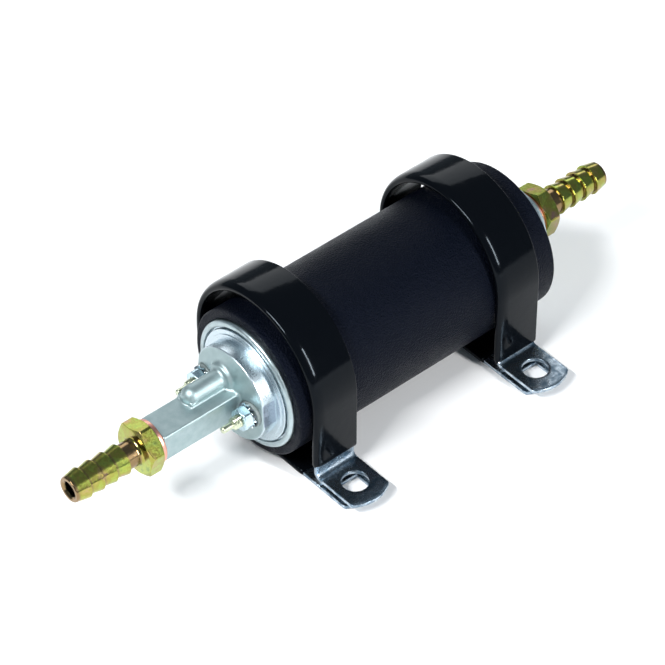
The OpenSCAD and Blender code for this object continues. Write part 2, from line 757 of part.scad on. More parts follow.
// Spring channels that hold the two magnets apart
module magnet_clips() color("silver") pump_frame() {
  outer = 90 - magnet_half - 1.5;
  inner = outer - 2.5;
  for (middle = [0, 180]) difference() {
    intersection() {
      tube(magnet_in_r + 1, magnet_out_r, magnet_x + 2, magnet_end - 2);
      wedge(middle - outer, middle + outer, magnet_x, magnet_end);
    }
    intersection() {
      tube(magnet_in_r, magnet_out_r - 0.6, magnet_x, magnet_end);
      wedge(middle - inner, middle + inner, magnet_x, magnet_end);
    }
  }
}

module flux_ring() color([0.5, 0.52, 0.54]) pump_frame()
  tube(yoke_in_r, fit_r, yoke_x, plate_x - stack_gap);

// Moulded brush holder: a rim, a floor with windows and two closed radial pockets
module brush_holder() color([0.16, 0.15, 0.14]) pump_frame() difference() {
  pocket_w = brush_w + 2;
  pocket_d = brush_depth + 2;
  union() {
    tube(holder_r - 1.2, holder_r, holder_x, holder_x + holder_len);
    for (side = [0, 1]) mirror([0, 0, side]) intersection() {
      translate([brush_x - pocket_d / 2, -pocket_w / 2, commutator_r + 1.6])
        cube([pocket_d, pocket_w, holder_r]);
      rod(holder_r - 0.1, holder_x, holder_x + holder_len);
    }
    intersection() {
      for (side = [-1, 1]) translate([brush_x + 1, side * 11 - 0.8, -16]) cube([4.5, 1.6, 32]);
      rod(holder_r - 0.1, holder_x, holder_x + holder_len);
    }
    intersection() {
      for (side = [-1, 1]) translate([brush_x + 1, -11, side * 10.4 - 0.7]) cube([2.4, 22, 1.4]);
      rod(holder_r - 0.1, holder_x, holder_x + holder_len);
    }
  }
  for (side = [0, 1]) mirror([0, 0, side])
    translate([brush_x - brush_depth / 2 - run_gap, -brush_w / 2 - run_gap, 0])
      cube([brush_depth + 2 * run_gap, brush_w + 2 * run_gap, pocket_end_r]);
}

module brush(side) mirror([0, 0, side]) difference() {
  translate([brush_x - brush_depth / 2, -brush_w / 2, 0]) cube([brush_depth, brush_w, brush_out_r]);
  rod(brush_in_r, brush_x - brush_depth, brush_x + brush_depth);
}

module upper_brush() color([0.18, 0.17, 0.17]) pump_frame() brush(0);

module lower_brush() color([0.18, 0.17, 0.17]) pump_frame() brush(1);

module brush_spring(side) mirror([0, 0, side]) translate([brush_x, 0, 0]) rotate([0, -90, 0])
  coil(brush_out_r + spring_gap, pocket_end_r - spring_gap, 1.5, 4);

module upper_brush_spring() color("silver") pump_frame() brush_spring(0);

module lower_brush_spring() color("silver") pump_frame() brush_spring(1);

module kidney(a0, a1, x0, x1) intersection() {
  tube(lobe_circle - lobe_r - 1.2, cavity_r, x0, x1);
  wedge(a0, a1, x0 - 1, x1 + 1);
}

module screw_places() at_angles([45:90:315]) translate([0, screw_circle, 0]) children();

module outlet_port_plate() color([0.6, 0.62, 0.64]) pump_frame() difference() {
  rod(fit_r, plate_x, ring_x);
  rod(bush_r + seat_gap, plate_x - eps, plate_x + bush_len);
  rod(shaft_r + 0.3, plate_x, ring_x + eps);
  kidney(-55, 55, plate_x - eps, ring_x + eps);
  screw_places() rod(screw_r + seat_gap, plate_x + 1, ring_x + eps);
  translate([0, 0, relief_z]) {
    rod(relief_seat_r, plate_x - eps, relief_seat_x);
    axial(relief_seat_x - eps) cylinder(
      r1 = relief_seat_r, r2 = relief_bore_r, h = relief_bore_r - relief_seat_r + eps);
    rod(relief_bore_r, relief_seat_x + relief_bore_r - relief_seat_r - eps, ring_x + eps);
  }
}

module rotor_ring() color([0.55, 0.57, 0.6]) pump_frame() difference() {
  rod(fit_r, ring_x, ring_end);
  translate([0, 0, eccentricity]) rod(ring_bore_r, ring_x - eps, ring_end + eps);
  screw_places() rod(screw_r + 0.1, ring_x - eps, ring_end + eps);
  translate([0, 0, relief_z]) rod(relief_bore_r, ring_x - eps, ring_end + eps);
}

// Inner rotor outline: the envelope of the outer rotor's round lobes as the rotors roll
function rotor_point(t, n, a, r, e) =
  let(psi = atan2(sin((1 - n) * t), a / (e * n) - cos((1 - n) * t)))
  [a * cos(t) - r * cos(t + psi) - e * cos(n * t), -a * sin(t) + r * sin(t + psi) + e * sin(n * t)];

module inner_rotor() color([0.62, 0.64, 0.66]) pump_frame() {
  steps = 60 * inner_count;
  flat_z = shaft_r - 0.8 + 0.02;
  outline = [for (i = [0:steps - 1])
    rotor_point(360 * i / steps, lobe_count, lobe_circle, lobe_r + tooth_gap, eccentricity)];
  difference() {
    axial(ring_x + rotor_axial_gap) linear_extrude(rotor_w - 2 * rotor_axial_gap)
      rotate(-90) polygon(outline);
    intersection() {
      rod(shaft_r + 0.02, ring_x - 1, ring_end + 1);
      translate([ring_x - 1, -shaft_r - 1, -shaft_r - 1]) cube([rotor_w + 2, 2 * shaft_r + 2, shaft_r + 1 + flat_z]);
    }
  }
}

module outer_rotor() color([0.5, 0.52, 0.55]) pump_frame() translate([0, 0, eccentricity]) {
  x0 = ring_x + rotor_axial_gap;
  x1 = ring_end - rotor_axial_gap;
  difference() {
    rod(rotor_r, x0, x1);
    difference() {
      rod(cavity_r, x0 - eps, x1 + eps);
      at_angles([for (i = [0:lobe_count - 1]) 360 * i / lobe_count - 90])
        translate([0, lobe_circle, 0]) rod(lobe_r, x0 - 1, x1 + 1);
    }
  }
}

module inlet_port_plate() color([0.6, 0.62, 0.64]) pump_frame() difference() {
  rod(fit_r, ring_end, inlet_plate_end);
  rod(shaft_r + run_gap, ring_end - eps, ring_end + 3);
  kidney(125, 235, ring_end - eps, inlet_plate_end + eps);
  screw_places() {
    rod(screw_r + 0.1, ring_end - eps, inlet_plate_end + eps);
    rod(head_r + 0.1, inlet_plate_end - head_t - 0.1, inlet_plate_end + eps);
  }
  translate([0, 0, relief_z]) {
    rod(relief_bore_r, ring_end - eps, inlet_plate_end + eps);
    rod(plug_r + seat_gap, plug_x, inlet_plate_end + eps);
  }
}

module pump_screws() color([0.3, 0.3, 0.32]) pump_frame() screw_places() difference() {
  head_x = inlet_plate_end - head_t - 0.1;
  union() {
    rod(screw_r, plate_x + 1.6, head_x + 0.5);
    rod(head_r, head_x + stack_gap, head_x + head_t);
  }
  axial(head_x + head_t - 1.2) linear_extrude(1.3) hexagon(2.5);
}

// Round filter disc with rows of holes, clipped against the inlet cap's wall
module inlet_screen() color([0.7, 0.7, 0.66]) pump_frame() {
  screen_r = fit_r - 2.6 - seat_gap;
  rows = 4;
  difference() {
    rod(screen_r, inlet_wall_x - 0.8, inlet_wall_x - stack_gap);
    for (row = [1:rows]) at_angles([for (i = [0:6 * row - 1]) 60 * i / row])
      translate([0, 1.9 * row, 0]) rod(0.6, inlet_wall_x - 1, inlet_wall_x + eps);
  }
}

pump_can();
foam_sleeve();
outlet_cap();
inlet_cap();
outlet_cap_seal();
inlet_cap_seal();
outlet_fitting();
inlet_fitting();
outlet_washer();
inlet_washer();
front_clamp_strap();
rear_clamp_strap();
front_clamp_coating();
rear_clamp_coating();
positive_terminal();
negative_terminal();
terminal_insulators();
terminal_nuts();
star_washers();
check_valve_poppet();
check_valve_spring();
check_valve_guide();
relief_valve_ball();
relief_valve_spring();
relief_valve_plug();
armature_shaft();
armature_core();
armature_windings();
commutator();
thrust_washers();
front_bush();
rear_bush();
upper_magnet();
lower_magnet();
magnet_clips();
flux_ring();
brush_holder();
upper_brush();
lower_brush();
upper_brush_spring();
lower_brush_spring();
outlet_port_plate();
rotor_ring();
inner_rotor();
outer_rotor();
inlet_port_plate();
pump_screws();
inlet_screen();
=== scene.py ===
import json
import math

import bpy
import bmesh
import numpy as np
from mathutils import Matrix, Vector


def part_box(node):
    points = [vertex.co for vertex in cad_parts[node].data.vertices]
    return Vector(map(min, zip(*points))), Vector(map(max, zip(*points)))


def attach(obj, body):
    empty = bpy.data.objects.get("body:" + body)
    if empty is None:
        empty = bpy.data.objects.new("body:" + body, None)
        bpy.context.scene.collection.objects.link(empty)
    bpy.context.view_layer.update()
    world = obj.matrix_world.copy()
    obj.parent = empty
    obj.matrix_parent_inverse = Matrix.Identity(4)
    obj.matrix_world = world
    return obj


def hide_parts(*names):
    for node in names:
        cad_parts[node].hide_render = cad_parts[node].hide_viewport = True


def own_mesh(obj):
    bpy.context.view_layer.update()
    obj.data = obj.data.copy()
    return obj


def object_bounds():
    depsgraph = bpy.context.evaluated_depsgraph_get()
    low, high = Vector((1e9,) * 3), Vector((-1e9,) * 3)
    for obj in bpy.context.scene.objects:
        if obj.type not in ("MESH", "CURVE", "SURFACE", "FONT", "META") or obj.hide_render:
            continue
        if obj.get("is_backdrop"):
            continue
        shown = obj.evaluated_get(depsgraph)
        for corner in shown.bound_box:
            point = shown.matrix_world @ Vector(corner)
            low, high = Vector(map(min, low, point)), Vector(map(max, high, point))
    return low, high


bl_info = {
    "name": "Inline fuel pump dressing",
    "version": (1, 0, 0),
    "blender": (4, 5, 0),
    "location": "3D View > Sidebar > Fuel Pump",
    "description": "Dresses the packed inline fuel pump with its detailed surfaces and finishes",
    "category": "Object",
}

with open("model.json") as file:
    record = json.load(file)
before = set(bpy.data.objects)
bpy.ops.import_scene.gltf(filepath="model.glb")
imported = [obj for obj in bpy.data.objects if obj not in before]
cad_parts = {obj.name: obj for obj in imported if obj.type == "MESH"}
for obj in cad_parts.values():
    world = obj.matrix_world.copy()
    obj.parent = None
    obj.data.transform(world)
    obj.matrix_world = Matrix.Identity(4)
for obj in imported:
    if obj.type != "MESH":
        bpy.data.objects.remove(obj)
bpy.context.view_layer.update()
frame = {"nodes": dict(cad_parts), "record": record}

# The pump axis: x runs from the outlet lip towards the inlet, in millimetres, before PUMP_ORIGIN is added
PUMP_ORIGIN = np.array([-50.25, 35.7, 22.4])
BODY = "housing"

# Sizes in millimetres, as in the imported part
CAN_R, CAN_LEN, LIP_BORE_R = 21.5, 106.5, 19.45
SLEEVE_R, SLEEVE_X0, SLEEVE_X1 = 24.6, 1.4, 105.1
HUB_R, SHOULDER, DOME_RISE, FLAT_Y = 15.8, 5.4, 1.9, 15.2
NECK_Y, NECK_Z, NECK_END = 5.6, 4.8, 35.5
RIB_R, RIB_Y, RIB_Z, RIB_END = 3.4, 2.2, 6.0, 21.8
LOBE_Y, LOBE_R, LOBE_FRONT = 10.5, 4.6, 5.8
PAD_R, PAD_T, STAR_T, NUT_T, NUT_AF = 4.3, 1.2, 0.8, 3.2, 7.0
STUD_R, STUD_TIP = 2.0, 17.6
HEX_AF, HEX_T, HEX_PHASE = 16.0, 5.3, 44.7
BARB_R, ROOT_R, BARB_PITCH, BARB_COUNT, STEM = 5.1, 4.25, 4.8, 4, 5.1
BORE_R, THREAD_R, WASHER_R, WASHER_T = 2.45, 4.0, 7.3, 1.6
PORT_R, PORT_X = 9.0, 116.1
STRAP_HALF, STRAP_T, STRAP_MID_R = 7.5, 1.2, 27.2
LOOP_Y, ARCH_Z, LOW_Z = 1.15, 3.0, 1.15
TAB_Z, LOWER_Z = -23.0, -26.05
BEND_Y, BEND_Z, BEND_MID_R = -28.15, -20.9, 2.1
BOLT_Y, BOLT_R, TAB_REACH, LOWER_REACH, TAB_BOW = 35.7, 4.25, 45.18, 41.6, 2.5
COAT_HALF_T, COAT_HALF_W, COAT_REACH = 1.38, 8.1, 20.5
CLAMPS = (("front", 13.0, -19.0), ("rear", 87.5, -22.3))
# The caps' radii in the can and in its lip, the clearance in a stack, and the lean of the hub's flats
CAP_FIT_R, CAP_STEP_R, GAP = 20.25, 18.85, 0.05
FLAT_LEAN = math.radians(4)
SPRING_WIRE_R = 0.25
# Each spring: its name, its node, the axis it lies along, its turns, its joint, the joint's travel, and
# whether its fixed end is the high one
SPRINGS = (
    ("check_valve_coil", "check_valve_spring", 0, 5, "check_valve_lift", 1.8, False),
    ("relief_valve_coil", "relief_valve_spring", 0, 6, "relief_valve_lift", 1.5, True),
    ("upper_brush_coil", "upper_brush_spring", 2, 4, "upper_brush_slide", 1.5, True),
    ("lower_brush_coil", "lower_brush_spring", 2, 4, "lower_brush_slide", 1.5, False),
)


# ---------------------------------------------------------------- surfaces

def in_frame(points):
    """Pump millimetres to metres in the part's frame: add the pump's origin and divide by 1000."""
    return (np.asarray(points, float) + PUMP_ORIGIN) * 0.001


def grid_faces(rows, cols, wrap_rows=False, wrap_cols=False):
    """Quads of a grid of rows x cols points: each joins point (i, j) to its neighbours i + 1 and j + 1."""
    i = np.arange(rows if wrap_rows else rows - 1)
    j = np.arange(cols if wrap_cols else cols - 1)
    i, j = np.meshgrid(i, j, indexing="ij")
    i2, j2 = (i + 1) % rows, (j + 1) % cols
    quads = np.stack([i * cols + j, i * cols + j2, i2 * cols + j2, i2 * cols + j], -1)
    return quads.reshape(-1, 4)


def make_piece(name, parts, slot, nodes=(), smooth=35.0, bevel=None, solid=None, body=BODY):
    """One object from (points in pump millimetres, faces) parts: doubles merged, faces turned outwards,
    shaded smooth below the given angle, then given its wall and rounded edges by modifiers. It rides on
    the given body and stands for the given nodes."""
    points, faces, first = [], [], 0
    for p, f in parts:
        points.append(in_frame(p))
        faces.extend((np.asarray(f) + first).tolist())
        first += len(p)
    mesh = bpy.data.meshes.new(name)
    mesh.from_pydata(np.concatenate(points).tolist(), [], faces)
    bm = bmesh.new()
    bm.from_mesh(mesh)
    bmesh.ops.remove_doubles(bm, verts=bm.verts, dist=2e-6)
    bmesh.ops.dissolve_degenerate(bm, edges=bm.edges, dist=1e-6)
    bmesh.ops.recalc_face_normals(bm, faces=bm.faces)
    bm.to_mesh(mesh)
    bm.free()
    mesh.shade_smooth()
    if smooth:
        mesh.set_sharp_from_angle(angle=math.radians(smooth))
    piece = bpy.data.objects.new(name, mesh)
    bpy.context.scene.collection.objects.link(piece)
    if solid:
        wall = piece.modifiers.new("wall", "SOLIDIFY")
        wall.thickness, wall.offset, wall.use_even_offset = solid * 0.001, 0.0, True
    if bevel:
        edge = piece.modifiers.new("edges", "BEVEL")
        edge.width, edge.segments, edge.limit_method = bevel * 0.001, 2, "ANGLE"
        edge.angle_limit, edge.harden_normals = math.radians(30), False
    mesh.materials.append(finish(slot))
    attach(piece, body)
    if nodes:
        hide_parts(*nodes)
    return piece


def turned(profile, sides=192, centre=(0.0, 0.0)):
    """A closed profile of (radius, x) points carried round the pump axis, or round a line beside it:
    y = r cos t, z = r sin t, and x stays."""
    profile = np.asarray(profile, float)
    t = np.linspace(0, 2 * np.pi, sides, endpoint=False)
    r, x = profile[:, :1], profile[:, 1:]
    p = np.stack([x + 0 * t, r * np.cos(t) + centre[0], r * np.sin(t) + centre[1]], -1)
    return p.reshape(-1, 3), grid_faces(len(profile), sides, True, True)


def rounded(corners, radii, steps=6):
    """A closed outline whose corners are arcs: each arc runs between the two points at
    radius / tan(angle / 2) from its corner, about the point that both sides are a radius away from."""
    corners = np.asarray(corners, float)
    out = []
    n = len(corners)
    for k in range(n):
        a, b, c = corners[k - 1], corners[k], corners[(k + 1) % n]
        u, v = (a - b) / np.linalg.norm(a - b), (c - b) / np.linalg.norm(c - b)
        r = radii[k] if hasattr(radii, "__len__") else radii
        turn = np.arccos(np.clip(u @ v, -1, 1))
        if r <= 0 or turn > np.pi - 1e-3:
            out.append(b[None])
            continue
        d = r / np.tan(turn / 2)
        mid = b + (u + v) / np.linalg.norm(u + v) * r / np.sin(turn / 2)
        p, q = b + u * d - mid, b + v * d - mid
        a0 = np.arctan2(p[1], p[0])
        da = (np.arctan2(q[1], q[0]) - a0 + np.pi) % (2 * np.pi) - np.pi
        s = a0 + da * np.linspace(0, 1, steps + 1)
        out.append(mid + r * np.stack([np.cos(s), np.sin(s)], 1))
    return np.concatenate(out)


# ---------------------------------------------------------------- finishes

class Finish:
    """A procedural material that reads Object coordinates, in millimetres."""

    def __init__(self, name, colour, rough, metal=0.0):
        self.mat = bpy.data.materials.new(name)
        self.mat.use_nodes = True
        self.tree = self.mat.node_tree
        self.shader = self.tree.nodes["Principled BSDF"]
        self.shader.inputs["Base Color"].default_value = (*colour, 1)
        self.shader.inputs["Roughness"].default_value = rough
        self.shader.inputs["Metallic"].default_value = metal
        coord = self.node("ShaderNodeTexCoord")
        scale = self.node("ShaderNodeMapping")
        scale.inputs["Scale"].default_value = (1000, 1000, 1000)
        self.link(coord.outputs["Object"], scale.inputs["Vector"])
        self.mm = scale.outputs["Vector"]

    def node(self, kind):
        """A new node of this kind."""
        return self.tree.nodes.new(kind)

    def link(self, a, b):
        """Output a feeds input b."""
        self.tree.links.new(a, b)

    def axes(self):
        """A point's x, y and z in millimetres."""
        split = self.node("ShaderNodeSeparateXYZ")
        self.link(self.mm, split.inputs[0])
        return split.outputs["X"], split.outputs["Y"], split.outputs["Z"]

    def radius(self):
        """Distance from the pump axis."""
        _, y, z = self.axes()
        y = self.math("SUBTRACT", y, PUMP_ORIGIN[1])
        z = self.math("SUBTRACT", z, PUMP_ORIGIN[2])
        squares = self.math("ADD", self.math("MULTIPLY", y, y), self.math("MULTIPLY", z, z))
        return self.math("SQRT", squares)

    def combine(self, x, y):
        """The vector (x, y, 0)."""
        c = self.node("ShaderNodeCombineXYZ")
        self.link(x, c.inputs[0])
        self.link(y, c.inputs[1])
        return c.outputs[0]

    def stretched(self, factors):
        """The point with each of its axes scaled."""
        m = self.node("ShaderNodeMapping")
        m.inputs["Scale"].default_value = factors
        self.link(self.mm, m.inputs["Vector"])
        return m.outputs["Vector"]

    def noise(self, scale, detail=3.0, rough=0.5, vector=None):
        """Cloudy noise from 0 to 1."""
        n = self.node("ShaderNodeTexNoise")
        n.inputs["Scale"].default_value = scale
        n.inputs["Detail"].default_value = detail
        n.inputs["Roughness"].default_value = rough
        self.link(vector or self.mm, n.inputs["Vector"])
        return n.outputs["Fac"]

    def turning(self, rings):
        """Fine marks left by turning: noise that reads only the radius and x."""
        around = self.math("MULTIPLY", self.radius(), rings)
        along = self.math("MULTIPLY", self.axes()[0], rings)
        return self.noise(1.0, 3.0, 0.6, self.combine(around, along))

    def cells(self, scale, feature="F1", vector=None):
        """Distance to the nearest of many scattered points."""
        v = self.node("ShaderNodeTexVoronoi")
        v.feature = feature
        v.inputs["Scale"].default_value = scale
        self.link(vector or self.mm, v.inputs["Vector"])
        return v.outputs["Distance"]

    def math(self, kind, a, b=None):
        """One sum on sockets or numbers."""
        m = self.node("ShaderNodeMath")
        m.operation = kind
        for k, v in enumerate((a, b)):
            if v is None:
                continue
            if isinstance(v, (int, float, np.floating)):
                m.inputs[k].default_value = float(v)
            else:
                self.link(v, m.inputs[k])
        return m.outputs[0]

    def span(self, value, a0, a1, b0, b1):
        """The value's range a0 to a1 mapped onto b0 to b1, and held beyond it."""
        m = self.node("ShaderNodeMapRange")
        for k, v in zip(("From Min", "From Max", "To Min", "To Max"), (a0, a1, b0, b1)):
            m.inputs[k].default_value = v
        self.link(value, m.inputs["Value"])
        return m.outputs["Result"]

    def ramp(self, value, stops):
        """Colours at places between 0 and 1, blended between them."""
        r = self.node("ShaderNodeValToRGB")
        while len(r.color_ramp.elements) < len(stops):
            r.color_ramp.elements.new(0.5)
        for e, (at, colour) in zip(r.color_ramp.elements, stops):
            e.position, e.color = at, (*colour, 1)
        self.link(value, r.inputs["Fac"])
        return r.outputs["Color"]

    def mix(self, factor, a, b):
        """From colour a to colour b as the factor goes from 0 to 1."""
        m = self.node("ShaderNodeMix")
        m.data_type = "RGBA"
        self.link(factor, m.inputs[0])
        for k, v in ((6, a), (7, b)):
            if isinstance(v, tuple):
                m.inputs[k].default_value = (*v, 1)
            else:
                self.link(v, m.inputs[k])
        return m.outputs[2]

    def patches(self, wide, dark, light):
        """Base colour that drifts between two tones as the noise does."""
        self.colour(self.mix(self.span(wide, 0.35, 0.65, 0, 1), tuple(dark), tuple(np.minimum(light, 1))))

    def colour(self, value):
        """Feeds the base colour."""
        self.link(value, self.shader.inputs["Base Color"])

    def rough(self, value):
        """Feeds the roughness."""
        self.link(value, self.shader.inputs["Roughness"])

    def bump(self, height, strength, distance=0.0001, after=None):
        """Small relief from a height, over the relief that came before."""
        b = self.node("ShaderNodeBump")
        b.inputs["Strength"].default_value = strength
        b.inputs["Distance"].default_value = distance
        self.link(height, b.inputs["Height"])
        if after is not None:
            self.link(after, b.inputs["Normal"])
        self.link(b.outputs["Normal"], self.shader.inputs["Normal"])
        return b.outputs["Normal"]


def colours():
    """The scene's colour settings."""
    return bpy.context.scene.pump_finishes


def sleeve_rubber():
    """Black foam skin: a fine leathery grain of small cells, with faint blue flecks painted over it as sheen.
    """
    f = Finish("foam_rubber", colours().sleeve, 0.5)
    f.shader.inputs["Specular IOR Level"].default_value = 0.08
    f.shader.inputs["Specular Tint"].default_value = (0.6, 0.7, 1.0, 1)
    cells = f.cells(1.9, "SMOOTH_F1")
    fine = f.noise(4.5, 4.0, 0.65)
    wide = f.noise(0.16, 3.0)
    # painted sheen: sparse faint blue flecks over the whole skin
    sheen_specks = f.span(fine, 0.55, 0.8, 0, 0.5)
    f.colour(f.mix(sheen_specks, tuple(colours().sleeve), (0.008, 0.009, 0.036)))
    f.rough(f.math("ADD", f.span(wide, 0.3, 0.7, 0.36, 0.46), f.span(fine, 0.3, 0.7, -0.05, 0.06)))
    first = f.bump(cells, 0.8, 0.0004)
    f.bump(fine, 0.6, 0.0003, first)
    return f.mat


def dipped_vinyl():
    """Smooth glossy dipped coating with a faint orange peel."""
    f = Finish("black_vinyl", colours().coating, 0.16)
    f.shader.inputs["Specular IOR Level"].default_value = 0.1
    f.shader.inputs["Specular Tint"].default_value = (0.75, 0.88, 1.0, 1)
    f.rough(f.span(f.noise(0.22, 3.0), 0.3, 0.7, 0.09, 0.15))
    f.bump(f.noise(0.35, 2.0), 0.08, 0.0004)
    return f.mat


def cast_head():
    """Cast aluminium: a fine sandy skin on the dome and neck, and a bright turned shoulder with fine rings,
    whose two leaning flats are painted darker and bluer, a painted reflection."""
    base = np.array(colours().casting)
    f = Finish("cast_aluminium", base, 0.4, 1.0)
    x, y, z = f.axes()
    lip_x = PUMP_ORIGIN[0]
    face = lip_x - SHOULDER - 0.15
    turned_side = f.math("MULTIPLY", f.span(x, face, face + 0.3, 0, 1),
                         f.span(f.radius(), HUB_R - 2.2, HUB_R - 1.6, 0, 1))
    sand = f.noise(2.6, 4.0, 0.6)
    wide = f.noise(0.3, 3.0)
    cast = f.mix(f.span(wide, 0.35, 0.65, 0, 1), tuple(base), tuple(base + 0.06))
    across = f.math("ABSOLUTE", f.math("SUBTRACT", y, PUMP_ORIGIN[1]))
    above = f.math("SUBTRACT", z, PUMP_ORIGIN[2])
    out = f.math("ADD", f.math("MULTIPLY", across, math.cos(FLAT_LEAN)),
                 f.math("MULTIPLY", above, math.sin(FLAT_LEAN)))
    flat = f.math("MULTIPLY", f.span(out, FLAT_Y - 0.06, FLAT_Y - 0.02, 0, 1),
                  f.span(x, lip_x - 0.9, lip_x - 0.7, 1, 0))
    # painted reflection: the two flats take a darker blue grey than the rest of the turned shoulder
    bright = f.mix(flat, (0.55, 0.64, 0.69), (0.36, 0.42, 0.5))
    f.colour(f.mix(turned_side, cast, bright))
    f.rough(f.math("ADD", f.span(sand, 0.3, 0.7, 0.44, 0.56), f.math("MULTIPLY", turned_side, -0.2)))
    height = f.math("ADD", f.math("MULTIPLY", sand, f.span(turned_side, 0, 1, 1, 0)),
                    f.math("MULTIPLY", f.turning(7.0), f.span(turned_side, 0, 1, 0, 0.12)))
    f.bump(height, 0.25, 0.0001)
    return f.mat


def turned_metal(name, colour, rough, rings=6.0, depth=0.2, spread=0.08):
    """Plated or bare metal with fine marks round the pump axis and soft patches in its gloss. The colour is
    three numbers, or the name of a colour setting."""
    base = np.array(getattr(colours(), colour) if isinstance(colour, str) else colour)
    f = Finish(name, base, rough, 1.0)
    marks = f.turning(rings)
    wide = f.noise(0.3, 3.0)
    f.patches(wide, base * 0.88, base * 1.08)
    f.rough(f.math("ADD", f.span(marks, 0.3, 0.7, rough - spread / 2, rough + spread / 2),
                   f.span(wide, 0.3, 0.7, -0.03, 0.04)))
    f.bump(marks, depth, 0.00006)
    return f.mat


def yellow_zinc():
    """Yellow passivated zinc: olive gold that drifts to lime and rose in patches, with painted shade that
    browns the valleys between the ridges and darkens the bore, over fine turning marks."""
    f = Finish("yellow_zinc_steel", colours().fittings, 0.24, 1.0)
    wide = f.noise(0.22, 3.0, 0.6)
    fine = f.noise(1.6, 4.0, 0.6)
    tone = f.math("ADD", f.math("MULTIPLY", wide, 0.75), f.math("MULTIPLY", fine, 0.25))
    shade = f.ramp(tone, ((0.34, (0.42, 0.25, 0.2)), (0.43, (0.38, 0.32, 0.09)),
                          (0.5, tuple(colours().fittings)),
                          (0.58, (0.34, 0.4, 0.08)), (0.68, (0.2, 0.26, 0.07))))
    radius = f.radius()
    # painted shade: the bore is darkened nearly to black inside
    bore = f.span(radius, BORE_R + 0.02, BORE_R + 0.3, 0, 1)
    # painted shade: the valleys between the ridges are browned towards their roots
    valley_shade = f.span(radius, ROOT_R + 0.04, ROOT_R + 0.2, 0, 1)
    f.colour(f.mix(bore, (0.05, 0.045, 0.02), f.mix(valley_shade, (0.24, 0.16, 0.08), shade)))
    marks = f.noise(1.0, 2.0, 0.5, f.combine(f.math("MULTIPLY", f.axes()[0], 5.0),
                                             f.math("MULTIPLY", radius, 5.0)))
    f.rough(f.span(fine, 0.3, 0.7, 0.15, 0.23))
    f.bump(marks, 0.05, 0.00005)
    return f.mat


def zinc_sheet():
    """Clear zinc on pressed strip: a cool grey with dark cloudy patches and a fine grain."""
    f = Finish("strap_steel", colours().strap, 0.26, 1.0)
    cloud = f.noise(0.35, 4.0, 0.6)
    grain = f.noise(2.4, 4.0, 0.7)
    f.colour(f.mix(f.span(cloud, 0.38, 0.62, 0, 1), (0.13, 0.19, 0.25), tuple(colours().strap)))
    f.rough(f.math("ADD", f.span(cloud, 0.3, 0.7, 0.34, 0.2), f.span(grain, 0.3, 0.7, -0.04, 0.05)))
    first = f.bump(grain, 0.16, 0.0001)
    f.bump(cloud, 0.2, 0.0003, first)
    return f.mat


def soft_material(name, colour, rough, grain=2.0, depth=0.2, metal=0.0):
    """Moulded, pressed or sintered stuff: a fine grain over a colour that varies a little."""
    f = Finish(name, colour, rough, metal)
    fine = f.noise(grain, 4.0, 0.6)
    wide = f.noise(0.3, 3.0)
    base = np.array(colour)
    f.patches(wide, base * 0.85, base * 1.12)
    f.rough(f.span(fine, 0.3, 0.7, rough - 0.06, rough + 0.06))
    f.bump(fine, depth, 0.00012)
    return f.mat


def stacked_core():
    """Armature core: thin sheets stacked along the axis, two to a millimetre, with dark seams."""
    f = Finish("core_steel", (0.3, 0.31, 0.33), 0.42, 1.0)
    sheets = f.math("FRACT", f.math("MULTIPLY", f.axes()[0], 2.0))
    seam = f.span(f.math("ABSOLUTE", f.math("SUBTRACT", sheets, 0.5)), 0.4, 0.48, 0, 1)
    f.colour(f.mix(seam, (0.33, 0.34, 0.36), (0.1, 0.1, 0.11)))
    f.rough(f.span(f.noise(1.5, 3.0), 0.3, 0.7, 0.36, 0.5))
    f.bump(f.math("MULTIPLY", seam, -1.0), 0.4, 0.0001)
    return f.mat


def enamelled_wire():
    """Winding bundles: fine strands along the slots, each painted darker towards its edges as shade between
    the strands.
    """
    f = Finish("winding_copper", (0.62, 0.27, 0.12), 0.3, 1.0)
    strands = f.cells(1.7, "F1", f.stretched((0.12, 1.0, 1.0)))
    # painted shade: each strand darkens towards its edges, where it meets the next
    f.colour(f.mix(f.span(strands, 0.1, 0.6, 0, 1), (0.66, 0.3, 0.13), (0.22, 0.08, 0.04)))
    f.rough(f.span(strands, 0.1, 0.6, 0.24, 0.4))
    f.bump(f.math("MULTIPLY", strands, -1.0), 0.5, 0.0003)
    return f.mat


# Finishes with a recipe of their own, then turned metals as (colour, roughness, rings, depth, spread), then
# moulded and sintered stuff as (colour, roughness, grain, depth, metal)
RECIPES = {
    "foam_rubber": sleeve_rubber,
    "black_vinyl": dipped_vinyl,
    "cast_aluminium": cast_head,
    "yellow_zinc_steel": yellow_zinc,
    "strap_steel": zinc_sheet,
    "core_steel": stacked_core,
    "winding_copper": enamelled_wire,
}
TURNED_METALS = {
    "can_steel": ("can", 0.34, 5.0, 0.12),
    "copper_washer": ((0.78, 0.38, 0.3), 0.34, 8.0, 0.3),
    "terminal_brass": ((0.6, 0.64, 0.48), 0.24),
    "nut_steel": ("nut", 0.24, 6.0, 0.15),
    "washer_steel": ((0.7, 0.73, 0.75), 0.08, 4.0, 0.05, 0.03),
    "valve_brass": ((0.74, 0.62, 0.33), 0.28),
    "spring_steel": ((0.62, 0.63, 0.65), 0.26),
    "ball_steel": ((0.8, 0.8, 0.82), 0.1, 3.0, 0.05, 0.03),
    "shaft_steel": ((0.66, 0.67, 0.69), 0.22, 9.0),
    "commutator_copper": ((0.75, 0.44, 0.28), 0.3, 9.0, 0.3),
    "yoke_steel": ((0.45, 0.47, 0.49), 0.36),
    "screen_steel": ((0.62, 0.62, 0.6), 0.34),
}
